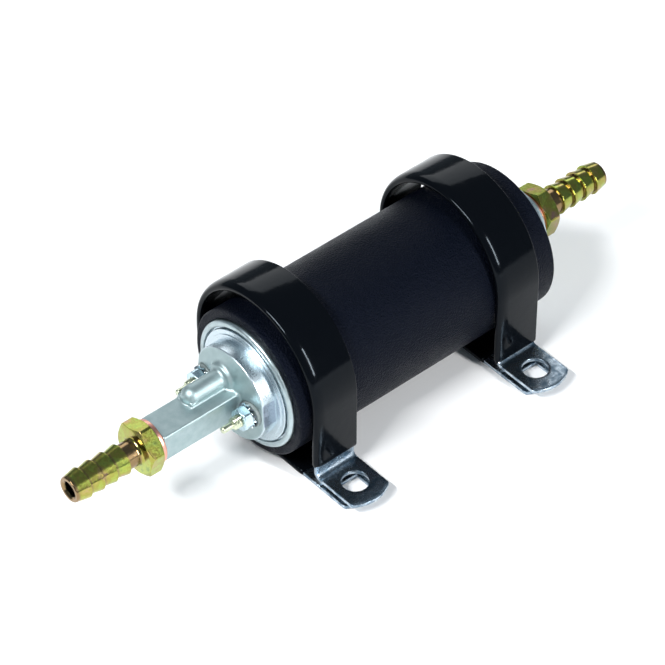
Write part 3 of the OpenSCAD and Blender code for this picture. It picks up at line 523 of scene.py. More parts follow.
SOFT_MATERIALS = {
    "bush_bronze": ((0.62, 0.46, 0.26), 0.45, 3.0, 0.3, 1.0),
    "sintered_steel": ((0.42, 0.43, 0.45), 0.42, 3.5, 0.3, 1.0),
    "screw_steel": ((0.12, 0.12, 0.13), 0.4, 2.0, 0.15, 1.0),
    "magnet_ferrite": ((0.13, 0.13, 0.14), 0.6, 3.0, 0.3),
    "insulator_plastic": ((0.14, 0.17, 0.17), 0.3, 2.0, 0.1),
    "thrust_plastic": ((0.12, 0.12, 0.13), 0.5),
    "holder_plastic": ((0.05, 0.05, 0.055), 0.5),
    "brush_carbon": ((0.06, 0.06, 0.065), 0.55, 4.0, 0.3),
    "seal_rubber": ((0.02, 0.02, 0.02), 0.5, 2.0, 0.1),
}


def finish(slot):
    """The slot's material, made once."""
    made = bpy.data.materials.get(slot)
    if made is not None and made.get("pump_finish"):
        return made
    if slot in RECIPES:
        made = RECIPES[slot]()
    elif slot in TURNED_METALS:
        made = turned_metal(slot, *TURNED_METALS[slot])
    else:
        made = soft_material(slot, *SOFT_MATERIALS[slot])
    made.name = slot
    made["pump_finish"] = True
    return made


# ---------------------------------------------------------------- pieces

def can_profile():
    """The can's half section: a long wall whose ends roll in to a rounded lip edge."""
    wall, lip, nose, bend = 1.2, 1.2, 0.58, 1.15
    back, far = CAN_R - wall, CAN_LEN - lip
    corners = [(LIP_BORE_R, 0), (CAN_R, 0), (CAN_R, CAN_LEN), (LIP_BORE_R, CAN_LEN),
               (LIP_BORE_R, far), (back, far), (back, lip), (LIP_BORE_R, lip)]
    return rounded(corners, [nose, bend, bend, nose, nose, 0.1, 0.1, nose], 7)


def sleeve_profile():
    """The sleeve's half section, with soft outer corners."""
    inner = CAN_R + GAP
    corners = [(inner, SLEEVE_X0), (SLEEVE_R, SLEEVE_X0), (SLEEVE_R, SLEEVE_X1), (inner, SLEEVE_X1)]
    return rounded(corners, [0.5, 0.8, 0.8, 0.5], 8)


def smooth_least(a, b, k):
    """The lesser of two distances, with a fillet of about k where they are near each other."""
    h = np.clip(0.5 + 0.5 * (b - a) / k, 0, 1)
    return b * (1 - h) + a * h - k * h * (1 - h)


def smooth_most(a, b, k):
    """The greater of two distances, filleted in the same way."""
    return -smooth_least(-a, -b, k)


def round_box(p, low, high, r):
    """Distance to a box with rounded edges."""
    mid, half = (np.array(low) + high) / 2, (np.array(high) - low) / 2 - r
    q = np.abs(p - mid) - half
    return np.linalg.norm(np.maximum(q, 0), axis=-1) + np.minimum(q.max(-1), 0) - r


def round_rod(p, y, z, radius, x0, x1, r):
    """Distance to a rod along x with rounded rims."""
    q = np.stack([np.hypot(p[..., 1] - y, p[..., 2] - z) - radius + r,
                  np.abs(p[..., 0] - (x0 + x1) / 2) - (x1 - x0) / 2 + r], -1)
    return np.linalg.norm(np.maximum(q, 0), axis=-1) + np.minimum(q.max(-1), 0) - r


def head_distance(p):
    """Signed distance to the outlet casting in front of the can. The dome is a large ball cut by the hub's
    cylinder and its two flats; the neck, the rib with its collar and the two lobes join it with fillets. The
    lobes stand at y and -y, so one rod read at |y| is both."""
    rim, flat_edge, seat_edge = 0.35, 0.2, 0.08
    lobe_fillet, rib_fillet, collar_fillet, neck_fillet = 0.5, 0.9, 1.3, 1.5
    x, y, z = p[..., 0], p[..., 1], p[..., 2]
    ball_r = (HUB_R ** 2 + DOME_RISE ** 2) / (2 * DOME_RISE)
    ball = np.sqrt((x - ball_r + SHOULDER + DOME_RISE) ** 2 + y ** 2 + z ** 2) - ball_r
    side = np.hypot(y, z) - HUB_R
    flat = np.abs(np.abs(y) * math.cos(FLAT_LEAN) + z * math.sin(FLAT_LEAN)) - FLAT_Y
    hub = smooth_most(smooth_most(ball, side, rim), flat, flat_edge)
    twin = np.stack([x, np.abs(y), z], -1)
    head = smooth_least(hub, round_rod(twin, LOBE_Y, 0, LOBE_R, -LOBE_FRONT, -1, 0.25), lobe_fillet)
    neck = round_box(p, (-NECK_END, -NECK_Y, -NECK_Z), (-2.0, NECK_Y, NECK_Z), 0.55)
    axis = np.clip(x, -RIB_END + RIB_R, -1.0)
    rib = np.sqrt((x - axis) ** 2 + (y - RIB_Y) ** 2 + (z - RIB_Z) ** 2) - RIB_R
    under = round_box(p, (-RIB_END + 0.6, RIB_Y - RIB_R, 0), (-2.0, RIB_Y + RIB_R, RIB_Z), 0.3)
    collar = round_rod(p, RIB_Y, RIB_Z, RIB_R + 1.5, -SHOULDER - DOME_RISE - 0.5, -1, 0.45)
    neck = smooth_least(neck, np.minimum(rib, under), rib_fillet)
    head = smooth_least(head, collar, collar_fillet)
    head = smooth_least(head, neck, neck_fillet)
    seats = round_rod(twin, LOBE_Y, 0, PAD_R + 0.12, -20, -LOBE_FRONT, 0.02)
    head = smooth_most(head, -seats, seat_edge)
    bore = round_rod(p, 0, 0, THREAD_R + GAP, -NECK_END - 3, -NECK_END + 8, 0.02)
    head = np.maximum(head, -bore)
    return np.maximum(head, x + 0.3)


def surface_of(distance, low, high, step):
    """The surface where a distance is 0: one point in each grid cell that it crosses, at the mean of its
    crossings of the cell's edges, joined across each crossed edge, then moved along the slope onto the
    surface."""
    axes = [np.arange(a, b + step, step) for a, b in zip(low, high)]
    field = distance(np.stack(np.meshgrid(*axes, indexing="ij"), -1))
    inside = field < 0
    corner = [(i, j, k) for i in (0, 1) for j in (0, 1) for k in (0, 1)]
    size = np.array(field.shape) - 1

    def part(a, c):
        """The values of a at corner c of every cell."""
        return a[c[0]:c[0] + size[0], c[1]:c[1] + size[1], c[2]:c[2] + size[2]]

    count = sum(part(inside, c).astype(np.int8) for c in corner)
    active = (count > 0) & (count < 8)
    cell = np.argwhere(active)
    index = np.full(tuple(size), -1, np.int64)
    index[active] = np.arange(len(cell))
    total, hits = np.zeros((len(cell), 3)), np.zeros((len(cell), 1))
    for a in corner:
        for axis in range(3):
            if a[axis]:
                continue
            b = tuple(v + (n == axis) for n, v in enumerate(a))
            fa, fb = part(field, a)[active], part(field, b)[active]
            crossed = (fa < 0) != (fb < 0)
            t = np.where(crossed, fa / np.where(crossed, fa - fb, 1), 0)
            where = np.tile(np.array(a, float), (len(cell), 1))
            where[:, axis] += t
            total += where * crossed[:, None]
            hits += crossed[:, None]
    points = (cell + total / hits) * step + np.array([a[0] for a in axes])
    for _ in range(3):
        here = distance(points)
        slope = np.stack([distance(points + d) - distance(points - d)
                          for d in np.eye(3) * 0.01], -1) / 0.02
        move = here[:, None] * slope / np.maximum((slope ** 2).sum(-1, keepdims=True), 0.3)
        points = points - np.clip(move, -0.4 * step, 0.4 * step)
    faces = []
    for axis in range(3):
        u, v = (axis + 1) % 3, (axis + 2) % 3
        a, b = np.delete(inside, -1, axis), np.delete(inside, 0, axis)
        at = np.argwhere(a != b)
        at = at[(at[:, u] > 0) & (at[:, v] > 0) & (at[:, u] < size[u]) & (at[:, v] < size[v])]
        out = a[tuple(at.T)]
        ring = []
        for du, dv in ((1, 1), (0, 1), (0, 0), (1, 0)):
            c = at.copy()
            c[:, u] -= du
            c[:, v] -= dv
            ring.append(index[tuple(c.T)])
        quad = np.stack(ring, 1)
        quad[~out] = quad[~out][:, ::-1]
        faces.append(quad)
    return points, np.concatenate(faces)


def head_steps():
    """The cap behind the hub: two turned steps inside the can's lip, the flange with its seal groove and the
    passage through it."""
    inner, groove, chamber, step_r = 5.5, 1.5, 4.55, 17.35
    corners = [(inner, -0.5), (step_r, -0.5), (step_r, -0.1), (CAP_STEP_R, -0.1), (CAP_STEP_R, 1.25),
               (CAP_FIT_R, 1.25), (CAP_FIT_R, 4.6), (CAP_FIT_R - groove, 4.6), (CAP_FIT_R - groove, 6.8),
               (CAP_FIT_R, 6.8), (CAP_FIT_R, 9.0), (chamber, 9.0), (chamber, 3.0), (inner, 3.0)]
    return rounded(corners, [0.05, 0.14, 0.1, 0.25] + [0.1] * 10, 4)


def fitting_profile():
    """The barbs and bore, from the hexagon outwards: a flare to the stem, then ridges that rise slowly and
    drop sharply, each with a rounded crest."""
    x0 = HEX_T + STEM
    tip = x0 + BARB_COUNT * BARB_PITCH + 0.2
    s = np.linspace(0, np.pi / 2, 15)
    flare = np.stack([BARB_R - 0.05 - 0.8 * np.sin(s), HEX_T + 1.3 * (1 - np.cos(s))], 1)
    points = [flare]
    quarter = np.linspace(0, 1, 5) * np.pi / 2
    t = np.linspace(0, 1, 4)[1:]
    crest, drop = 0.22, ROOT_R + 0.06
    for k in range(BARB_COUNT):
        x = x0 + k * BARB_PITCH
        back = np.stack([ROOT_R + (BARB_R - ROOT_R) * np.sin(quarter),
                         x - 0.12 + 0.2 * (1 - np.cos(quarter))], 1)
        slope = np.stack([BARB_R - (BARB_R - drop) * t, x + crest + (BARB_PITCH - 0.7) * t], 1)
        points += [[(ROOT_R, x - 0.35)], back, [(BARB_R, x + crest)], slope]
    points.append([(ROOT_R - 0.02, tip - 0.25), (ROOT_R - 0.25, tip), (BORE_R + 0.75, tip),
                   (BORE_R + 0.1, tip - 0.55), (BORE_R, tip - 0.8), (BORE_R, -7.0), (THREAD_R - 0.4, -7.0),
                   (THREAD_R, -6.6), (THREAD_R, 0.3), (BARB_R - 0.6, 0.3)])
    return np.concatenate([np.asarray(p, float) for p in points])


def hex_grid(af, x0, x1, phase, inner, centre=(0.0, 0.0), sides=120):
    """A hexagon whose corners are turned down: at each angle the side stands at half the flats over the
    cosine of the angle from the nearest flat, and the chamfer's cone meets it where radius and cone agree."""
    trim, face_in, ledge = 0.18, 0.25, 0.15
    t = np.linspace(0, 2 * np.pi, sides, endpoint=False) + math.radians(phase)
    off = (t - math.radians(phase) + np.pi / 6) % (np.pi / 3) - np.pi / 6
    off = np.pi / 6 - np.abs(off)
    side = np.minimum(af / 2 / np.cos(off), af / 2 / math.cos(np.pi / 6) - trim)
    face = af / 2 - face_in
    drop = (side - face) * math.tan(math.radians(30))
    one = np.ones_like(t)
    half = [inner * one, (face - ledge) * one, face * one, side]
    r = np.stack(half + half[::-1])
    x = np.stack([x0 * one, x0 * one, x0 + 0.02 * one, x0 + drop,
                  x1 - drop, x1 - 0.02 * one, x1 * one, x1 * one])
    p = np.stack([x, r * np.cos(t) + centre[0], r * np.sin(t) + centre[1]], -1)
    return p.reshape(-1, 3), grid_faces(8, sides, True, True)


def flip_x(part, about):
    """The part with each x made about - x."""
    out = np.array(part[0], float)
    out[:, 0] = about - out[:, 0]
    return out, part[1]


def shift_x(part, by):
    """The part moved along x."""
    out = np.array(part[0], float)
    out[:, 0] += by
    return out, part[1]


def threaded_stud(y):
    """Stud from the tip back into the cap: a thin plain nose, then the thread. The thread is a helix: the
    radius falls and rises as a triangle wave of x / pitch minus the turn, and fades in at its chamfer."""
    pitch, sides, per = 0.7, 48, 10
    nose_r, nose_len, head_half = 1.1, 3.8, 3.3
    x = np.arange(-STUD_TIP, -5.0, pitch / per)
    t = np.linspace(0, 2 * np.pi, sides, endpoint=False)
    wave = np.abs((x[:, None] / pitch - t / (2 * np.pi)) % 1 - 0.5) * 2
    along = x[:, None] + STUD_TIP
    depth = 0.32 * np.clip((along - nose_len) / 0.3, 0, 1)
    thread = STUD_R - depth * np.clip(1.25 * wave - 0.12, 0, 1)
    r = np.minimum(thread, STUD_R - 0.5 + np.maximum(along - nose_len, 0))
    r = np.where(along < nose_len, np.minimum(nose_r, nose_r - 0.3 + along), r)
    back = np.array([[STUD_R - 0.02, -4.9], [STUD_R - 0.02, 8.9], [0.0, 8.9]])
    xs = np.concatenate([[-STUD_TIP], x, back[:, 1]])
    rs = np.concatenate([np.zeros((1, sides)), r, np.repeat(back[:, :1], sides, 1)])
    p = np.stack([np.repeat(xs[:, None], sides, 1), rs * np.cos(t) + y, rs * np.sin(t)], -1)
    head = block((9.05, y - head_half, -head_half), (10.65, y + head_half, head_half))
    return [(p.reshape(-1, 3), grid_faces(len(xs), sides, False, True)), head]


def block(low, high):
    """A box's eight corners and six faces."""
    c = np.array([(x, y, z) for x in (low[0], high[0]) for y in (low[1], high[1])
                  for z in (low[2], high[2])], float)
    f = np.array([(0, 1, 3, 2), (4, 6, 7, 5), (0, 4, 5, 1), (2, 3, 7, 6), (0, 2, 6, 4), (1, 5, 7, 3)])
    return c, f


def star_washer(y):
    """Toothed lock washer: a flat ring and twelve teeth, each a small block twisted about its own radius."""
    teeth, half_t, ring_half_t, ring_r, inner = 12, 0.19, 0.2, 3.05, STUD_R + 0.06
    root_r, tooth_len, root_w, narrowing, turn = 2.85, 1.35, 0.6, 0.1, math.radians(40)
    rows, cols = 6, 5
    mid = -LOBE_FRONT - PAD_T - STAR_T - GAP + STAR_T / 2
    ring = [(inner, mid - ring_half_t), (ring_r, mid - ring_half_t), (ring_r, mid + ring_half_t),
            (inner, mid + ring_half_t)]
    parts = [turned(rounded(ring, 0.08, 3), 72, (y, 0.0))]
    s, w = np.meshgrid(np.linspace(0, 1, rows), np.linspace(-1, 1, cols), indexing="ij")
    twist = turn * np.clip(s * 1.6, 0, 1)
    radial = root_r + tooth_len * s
    wide = (root_w - narrowing * s) * w
    count = rows * cols
    edge = np.concatenate([np.arange(cols), np.arange(2 * cols - 1, count, cols),
                           np.arange(count - 2, count - cols - 1, -1), np.arange(count - 2 * cols, 0, -cols)])
    rim = np.stack([edge, np.roll(edge, -1), np.roll(edge, -1) + count, edge + count], 1)
    quads = grid_faces(rows, cols)
    for k in range(teeth):
        angle = 2 * math.pi * k / teeth
        sheets = []
        for side in (-1, 1):
            across = wide * np.cos(twist) - side * half_t * np.sin(twist)
            along = wide * np.sin(twist) + side * half_t * np.cos(twist)
            sheets.append(np.stack([mid + along, y + radial * math.cos(angle) - across * math.sin(angle),
                                    radial * math.sin(angle) + across * math.cos(angle)], -1).reshape(-1, 3))
        parts.append((np.concatenate(sheets), np.concatenate([quads, quads + count, rim])))
    return parts


def arc(u, v, ru, rv, a0, a1, n):
    """Points (u + ru cos a, v + rv sin a) of an ellipse between two angles in degrees."""
    a = np.radians(np.linspace(a0, a1, n))
    return np.stack([u + ru * np.cos(a), v + rv * np.sin(a)], 1)


def strap_path():
    """Points (y, z) of the strap's mid line from the upper tab's bend to the lower tab, arc by arc."""
    r = STRAP_MID_R
    runs = [arc(BEND_Y, BEND_Z, BEND_MID_R, BEND_MID_R, -90, 0, 9),
            [(LOOP_Y - r, z) for z in np.linspace(BEND_Z, ARCH_Z, 8)[1:]],
            arc(LOOP_Y, ARCH_Z, r, r, 180, 0, 73)[1:],
            arc(LOOP_Y, LOW_Z, r, r, 0, -90, 37),
            [(y, LOW_Z - r) for y in np.linspace(LOOP_Y, BEND_Y, 8)[1:]]]
    return np.concatenate([np.asarray(a, float) for a in runs])


def tab_plate(z, reach, square):
    """A tab seen from above: rings of points from the bolt hole's edge out to the tab's outline, which has a
    straight inner side, two straight flanks and a bowed end. The hole is round, or square."""
    n, rings, far, tiny = 96, 6, 1e9, 1e-9
    t = np.linspace(0, 2 * np.pi, n, endpoint=False)
    arc_r = (STRAP_HALF ** 2 + TAB_BOW ** 2) / (2 * TAB_BOW)
    dx, dy = np.cos(t), np.sin(t)

    def ray_to(x_half, low, high):
        """How far each ray runs from the bolt's centre to a rectangle."""
        down = np.where(dy < -tiny, low / np.minimum(dy, -tiny), far)
        return np.minimum(np.where(np.abs(dx) > tiny, x_half / np.maximum(np.abs(dx), tiny), far),
                          np.where(dy > tiny, high / np.maximum(dy, tiny), down))

    centre = BOLT_Y - reach + arc_r
    b = dy * centre
    end = b + np.sqrt(np.maximum(b * b - centre ** 2 + arc_r ** 2, 0))
    box = ray_to(STRAP_HALF, -99.0, BEND_Y + BOLT_Y)
    out = np.where(dy < 0, np.minimum(box, end), box)
    hole = ray_to(BOLT_R, -BOLT_R, BOLT_R) if square else np.full(n, BOLT_R)
    r = hole + (out - hole) * np.linspace(0, 1, rings)[:, None]
    p = np.stack([r * dx, r * dy - BOLT_Y, np.full_like(r, z)], -1)
    return p.reshape(-1, 3), grid_faces(rings, n, False, True)


def clamp_strap_parts(x_centre):
    """The whole strap as one mid surface: the upper tab, the loop and the lower tab. The loop's strip has a
    column at each of the tab's points on the bend, so that the three join."""
    path = strap_path()
    upper = tab_plate(TAB_Z, TAB_REACH, False)
    lower = tab_plate(LOWER_Z, LOWER_REACH, True)
    at_bend = upper[0][np.abs(upper[0][:, 1] - BEND_Y) < 1e-6]
    x = np.unique(np.round(np.concatenate([at_bend[:, 0], [-STRAP_HALF, STRAP_HALF]]), 6))
    px, py = np.meshgrid(x, np.arange(len(path)), indexing="xy")
    strip = np.stack([px, path[py, 0], path[py, 1]], -1)
    parts = [upper, (strip.reshape(-1, 3), grid_faces(len(path), len(x))), lower]
    return [(p + np.array([x_centre, 0, 0]), f) for p, f in parts]


def coat_outline():
    """The coating's section as (width, height) points, outer side up. The front 3.6 mm of the outer side is a
    quarter ellipse 1.5 mm deep that ends upright, the rest is flat, and the other corners are small arcs."""
    roll_w, roll_h, soft, hard = 3.6, 1.5, 1.0, 0.45
    w, h = COAT_HALF_W, COAT_HALF_T
    return np.concatenate([arc(roll_w - w, h - roll_h, roll_w, roll_h, 90, 180, 21),
                           arc(soft - w, soft - h, soft, soft, 180, 270, 9),
                           arc(w - hard, hard - h, hard, hard, 270, 360, 6),
                           arc(w - hard, h - hard, hard, hard, 0, 90, 6)])


def coat_parts(x_centre, stop_z):
    """Dipped coating: a rounded section carried along the strap's mid line, which thins to the strap at both
    ends over a short taper. It starts at the height stop_z on the tab side."""
    path = strap_path()
    step = np.linalg.norm(np.diff(path, axis=0), axis=1)
    at = np.concatenate([[0], np.cumsum(step)])
    start = np.interp(stop_z, path[:16, 1], at[:16])
    stop = at[-1] + (COAT_REACH + BEND_Y)
    taper = 1.6
    ease = taper * (1 - np.cos(np.linspace(0, np.pi / 2, 7)))
    s = np.unique(np.concatenate([start + ease, at[(at > start + taper) & (at < stop - taper)], stop - ease]))
    y, z = np.interp(s, at, path[:, 0]), np.interp(s, at, path[:, 1])
    ty, tz = np.gradient(y, s), np.gradient(z, s)
    length = np.hypot(ty, tz)
    ny, nz = tz / length, -ty / length
    full = np.clip(np.minimum(s - start, stop - s) / taper, 0, 1)
    full = np.sqrt(1 - (1 - full) ** 2)
    outline = coat_outline()
    cover = 0.04
    thin_w, thin_t = (STRAP_HALF + cover) / COAT_HALF_W, (STRAP_T / 2 + cover) / COAT_HALF_T
    w = outline[:, 0] * (thin_w + (1 - thin_w) * full[:, None])
    h = outline[:, 1] * (thin_t + (1 - thin_t) * full[:, None])
    p = np.stack([w + x_centre, y[:, None] - ny[:, None] * h, z[:, None] - nz[:, None] * h], -1)
    rows, cols = p.shape[:2]
    body = (p.reshape(-1, 3), grid_faces(rows, cols, False, True))
    caps = []
    for row in (0, rows - 1):
        ring = p[row]
        mid = np.repeat(ring.mean(0)[None], cols, 0)
        caps.append((np.concatenate([ring, mid]), grid_faces(2, cols, False, True)))
    return [body] + caps


def coil(low, high, along, turns):
    """A round wire on a helix that fills the box: the centre line is the box's axis plus r cos a, r sin a,
    and climbs evenly with a; the wire is w cos b outwards plus w sin b across it, and shuts to a point at
    each end."""
    side = [k for k in range(3) if k != along]
    middle = (low + high) / 2
    r = (high - low)[side[0]] / 2 - SPRING_WIRE_R
    rise = (high - low)[along] - 2 * SPRING_WIRE_R
    t = np.linspace(0, 1, turns * 48 + 1)
    t, w = np.r_[0, t, 1], np.r_[0, np.full(len(t), SPRING_WIRE_R), 0]
    a = 2 * np.pi * turns * t
    b = np.linspace(0, 2 * np.pi, 12, endpoint=False)
    line, out, run = (np.zeros((len(t), 3)) for _ in range(3))
    line[:, along] = low[along] + SPRING_WIRE_R + rise * t
    out[:, side[0]], out[:, side[1]] = np.cos(a), np.sin(a)
    line[:, side] += middle[side] + r * out[:, side]
    speed = 2 * np.pi * turns * r
    run[:, along] = rise
    run[:, side[0]], run[:, side[1]] = -speed * np.sin(a), speed * np.cos(a)
    over = np.cross(run / np.linalg.norm(run, axis=1)[:, None], out)
    ring = out[:, None] * np.cos(b)[:, None] + over[:, None] * np.sin(b)[:, None]
    points = line[:, None] + w[:, None, None] * ring
    return points.reshape(-1, 3), grid_faces(len(t), len(b), False, True)


# ---------------------------------------------------------------- operators

def colour_setting(name, description, default):
    """A colour property."""
    return bpy.props.FloatVectorProperty(name=name, description=description, subtype="COLOR",
                                         size=3, min=0, max=1, default=default)


class PumpFinishes(bpy.types.PropertyGroup):
    """Colours that a user would change."""
    sleeve: colour_setting("Sleeve", "Foam sleeve colour", (0.001, 0.0018, 0.0042))
    coating: colour_setting("Coating", "Dipped clamp coating colour", (0.0015, 0.002, 0.003))
    casting: colour_setting("Casting", "Outlet casting colour", (0.32, 0.41, 0.42))
    can: colour_setting("Can", "Steel can colour", (0.4, 0.48, 0.5))
    strap: colour_setting("Strap", "Bare strap colour", (0.48, 0.56, 0.63))
    fittings: colour_setting("Fittings", "Yellow zinc colour", (0.3, 0.29, 0.06))
    nut: colour_setting("Nut", "Terminal nut colour", (0.5, 0.64, 0.71))


class PumpSizes(bpy.types.PropertyGroup):
    """Sizes of the dressing that a user would change."""
    cast_step: bpy.props.FloatProperty(name="Casting detail", description="Grid step of the outlet casting",
                                       unit="LENGTH", default=0.00026, min=0.0002, max=0.001, precision=5)
    edge_round: bpy.props.FloatProperty(name="Strap edge", description="Rounding of the strap's edges",
                                        unit="LENGTH", default=0.00018, min=0.00005, max=0.0004,
                                        precision=5)


def sizes():
    """The scene's size settings."""
    return bpy.context.scene.pump_sizes


class PUMP_OT_can(bpy.types.Operator):
    """Steel can with its rolled lips"""
    bl_idname = "pump.can"
    bl_label = "Steel can"

    def execute(self, context):
        make_piece("can_shell", [turned(can_profile(), 224)], "can_steel", ["pump_can"])
        return {"FINISHED"}


class PUMP_OT_sleeve(bpy.types.Operator):
    """Foam sleeve with its leathery skin"""
    bl_idname = "pump.sleeve"
    bl_label = "Foam sleeve"

    def execute(self, context):
        make_piece("sleeve_skin", [turned(sleeve_profile(), 256)], "foam_rubber", ["foam_sleeve"])
        return {"FINISHED"}


class PUMP_OT_clamps(bpy.types.Operator):
    """Two steel straps with their dipped coatings"""
    bl_idname = "pump.clamps"
    bl_label = "Clamps"

    def execute(self, context):
        for name, x, stop_z in CLAMPS:
            make_piece(f"{name}_strap", clamp_strap_parts(x), "strap_steel", [f"{name}_clamp_strap"],
                       bevel=sizes().edge_round * 1000, solid=STRAP_T)
            make_piece(f"{name}_coating", coat_parts(x, stop_z), "black_vinyl",
                       [f"{name}_clamp_coating"])
        return {"FINISHED"}


class PUMP_OT_outlet_head(bpy.types.Operator):
    """Outlet casting: dome, neck, rib and lobes, and the turned steps behind them"""
    bl_idname = "pump.outlet_head"
    bl_label = "Outlet head"

    def execute(self, context):
        step = sizes().cast_step * 1000
        low = (-NECK_END - 1, -HUB_R - 1, -HUB_R - 1)
        high = (0.6, HUB_R + 1, HUB_R + 1)
        casting = surface_of(head_distance, low, high, step)
        make_piece("outlet_casting", [casting], "cast_aluminium", ["outlet_cap"], smooth=0)
        make_piece("outlet_steps", [turned(head_steps(), 224)], "cast_aluminium")
        return {"FINISHED"}


class PUMP_OT_inlet_head(bpy.types.Operator):
    """Turned inlet cap with its port boss"""
    bl_idname = "pump.inlet_head"
    bl_label = "Inlet head"

    def execute(self, context):
        port_r, feed_r, chamber_r, skirt_t = 4.05, 3.1, 9.2, 2.6
        edge_x, wall_x, feed_x, flange_x, boss_x, port_x = 90.1, 97.95, 103.45, 105.25, 106.6, 108.1
        corners = [(port_r, PORT_X), (PORT_R, PORT_X), (PORT_R, 113.2), (HUB_R, 111.0), (HUB_R, boss_x),
                   (CAP_STEP_R, boss_x), (CAP_STEP_R, flange_x), (CAP_FIT_R, flange_x), (CAP_FIT_R, edge_x),
                   (CAP_FIT_R - skirt_t, edge_x), (CAP_FIT_R - skirt_t, wall_x), (chamber_r, wall_x),
                   (feed_r, feed_x), (feed_r, port_x), (port_r, port_x)]
        outline = rounded(corners, [0.1, 0.4, 1.2, 0.8, 0.2, 0.3] + [0.1] * 9, 5)
        make_piece("inlet_cap_turned", [turned(outline, 192)], "cast_aluminium", ["inlet_cap"])
        return {"FINISHED"}


class PUMP_OT_fittings(bpy.types.Operator):
    """Hose fittings and their copper washers"""
    bl_idname = "pump.fittings"
    bl_label = "Hose fittings"

    def execute(self, context):
        barb = turned(fitting_profile(), 128)
        hexagon = hex_grid(HEX_AF, 0.0, HEX_T, HEX_PHASE, BARB_R - 0.7)
        hole_r = THREAD_R + 0.15
        ring = [(hole_r, 0), (WASHER_R, 0), (WASHER_R, WASHER_T), (hole_r, WASHER_T)]
        washer = turned(rounded(ring, 0.4, 6), 128)
        face, far = -NECK_END - WASHER_T, PORT_X + WASHER_T
        for end, place, at, washer_x in (("outlet", flip_x, face, face), ("inlet", shift_x, far, PORT_X)):
            make_piece(f"{end}_hose_fitting", [place(barb, at), place(hexagon, at)], "yellow_zinc_steel",
                       [f"{end}_fitting"], smooth=8, bevel=0.06)
            make_piece(f"{end}_copper_washer", [shift_x(washer, washer_x)], "copper_washer",
                       [f"{end}_washer"])
        return {"FINISHED"}


class PUMP_OT_terminals(bpy.types.Operator):
    """Studs, nuts, toothed washers and insulators"""
    bl_idname = "pump.terminals"
    bl_label = "Terminals"

    def execute(self, context):
        nuts, stars, pads = [], [], []
        hole_r, bush_r, cap_x, pad_x = STUD_R + GAP, 3.3, 7.8, -LOBE_FRONT
        star_x = pad_x - PAD_T - STAR_T - GAP
        nut_x = star_x - NUT_T - GAP
        bush = [(hole_r, pad_x - PAD_T), (PAD_R, pad_x - PAD_T), (PAD_R, pad_x - GAP), (bush_r, pad_x - GAP),
                (bush_r, cap_x - GAP), (hole_r, cap_x - GAP)]
        ring = [(hole_r, cap_x), (PAD_R, cap_x), (PAD_R, 9.0), (hole_r, 9.0)]
        for y in (-LOBE_Y, LOBE_Y):
            nuts.append(hex_grid(NUT_AF, nut_x, nut_x + NUT_T, 10, hole_r, centre=(y, 0.0), sides=96))
            stars += star_washer(y)
            pads.append(turned(rounded(bush, [0.1, 0.3, 0.1, 0.05, 0.05, 0.05], 5), 72, (y, 0.0)))
            pads.append(turned(rounded(ring, 0.1, 3), 72, (y, 0.0)))
        make_piece("terminal_nut_pair", nuts, "nut_steel", ["terminal_nuts"], bevel=0.12)
        make_piece("lock_washer_pair", stars, "washer_steel", ["star_washers"])
        make_piece("insulator_bushes", pads, "insulator_plastic", ["terminal_insulators"])
        for pole, y in (("positive", -LOBE_Y), ("negative", LOBE_Y)):
            make_piece(f"{pole}_stud", threaded_stud(y), "terminal_brass", [f"{pole}_terminal"], smooth=60)
        return {"FINISHED"}


class PUMP_OT_springs(bpy.types.Operator):
    """The valve springs and brush springs, each a coil that fills its packed part's box"""
    bl_idname = "pump.springs"
    bl_label = "Springs"

    def execute(self, context):
        for name, node, along, turns, joint, travel, high_end in SPRINGS:
            low, high = (np.array(corner) * 1000 - PUMP_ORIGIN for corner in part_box(node))
            piece = make_piece(name, [coil(low, high, along, turns)], "spring_steel", [node], smooth=60)
            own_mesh(piece)
        return {"FINISHED"}


class PUMP_OT_inner_parts(bpy.types.Operator):
    """Finishes of the pieces kept as they are packed: the motor, the rotor pump and the valves"""
    bl_idname = "pump.inner_parts"
    bl_label = "Inner parts"

    def execute(self, context):
        slots = {s["node"]: s["material_slot"] for s in frame["record"]["subparts"]}
        for name, node in frame["nodes"].items():
            node.data.materials.clear()
            node.data.materials.append(finish(slots[name]))
        return {"FINISHED"}


class PUMP_OT_stage(bpy.types.Operator):
    """Plain pale floor, soft lights and the camera"""
    bl_idname = "pump.stage"
    bl_label = "Stage"

    def execute(self, context):
        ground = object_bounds()[0][2]
        half = 3.0
        mesh = bpy.data.meshes.new("floor")
        mesh.from_pydata([(-half, -half, ground), (half, -half, ground), (half, half, ground),
                          (-half, half, ground)], [], [(0, 1, 2, 3)])
        floor = bpy.data.objects.new("floor", mesh)
        context.scene.collection.objects.link(floor)
        paint = bpy.data.materials.new("floor_paint")
        paint.use_nodes = True
        shader = paint.node_tree.nodes["Principled BSDF"]
        shader.inputs["Base Color"].default_value = (0.94, 0.94, 0.94, 1)
        shader.inputs["Roughness"].default_value = 0.9
        mesh.materials.append(paint)
        floor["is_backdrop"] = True
        context.scene.view_settings.view_transform = "Standard"
        place_lights(context)
        place_camera(context)
        return {"FINISHED"}


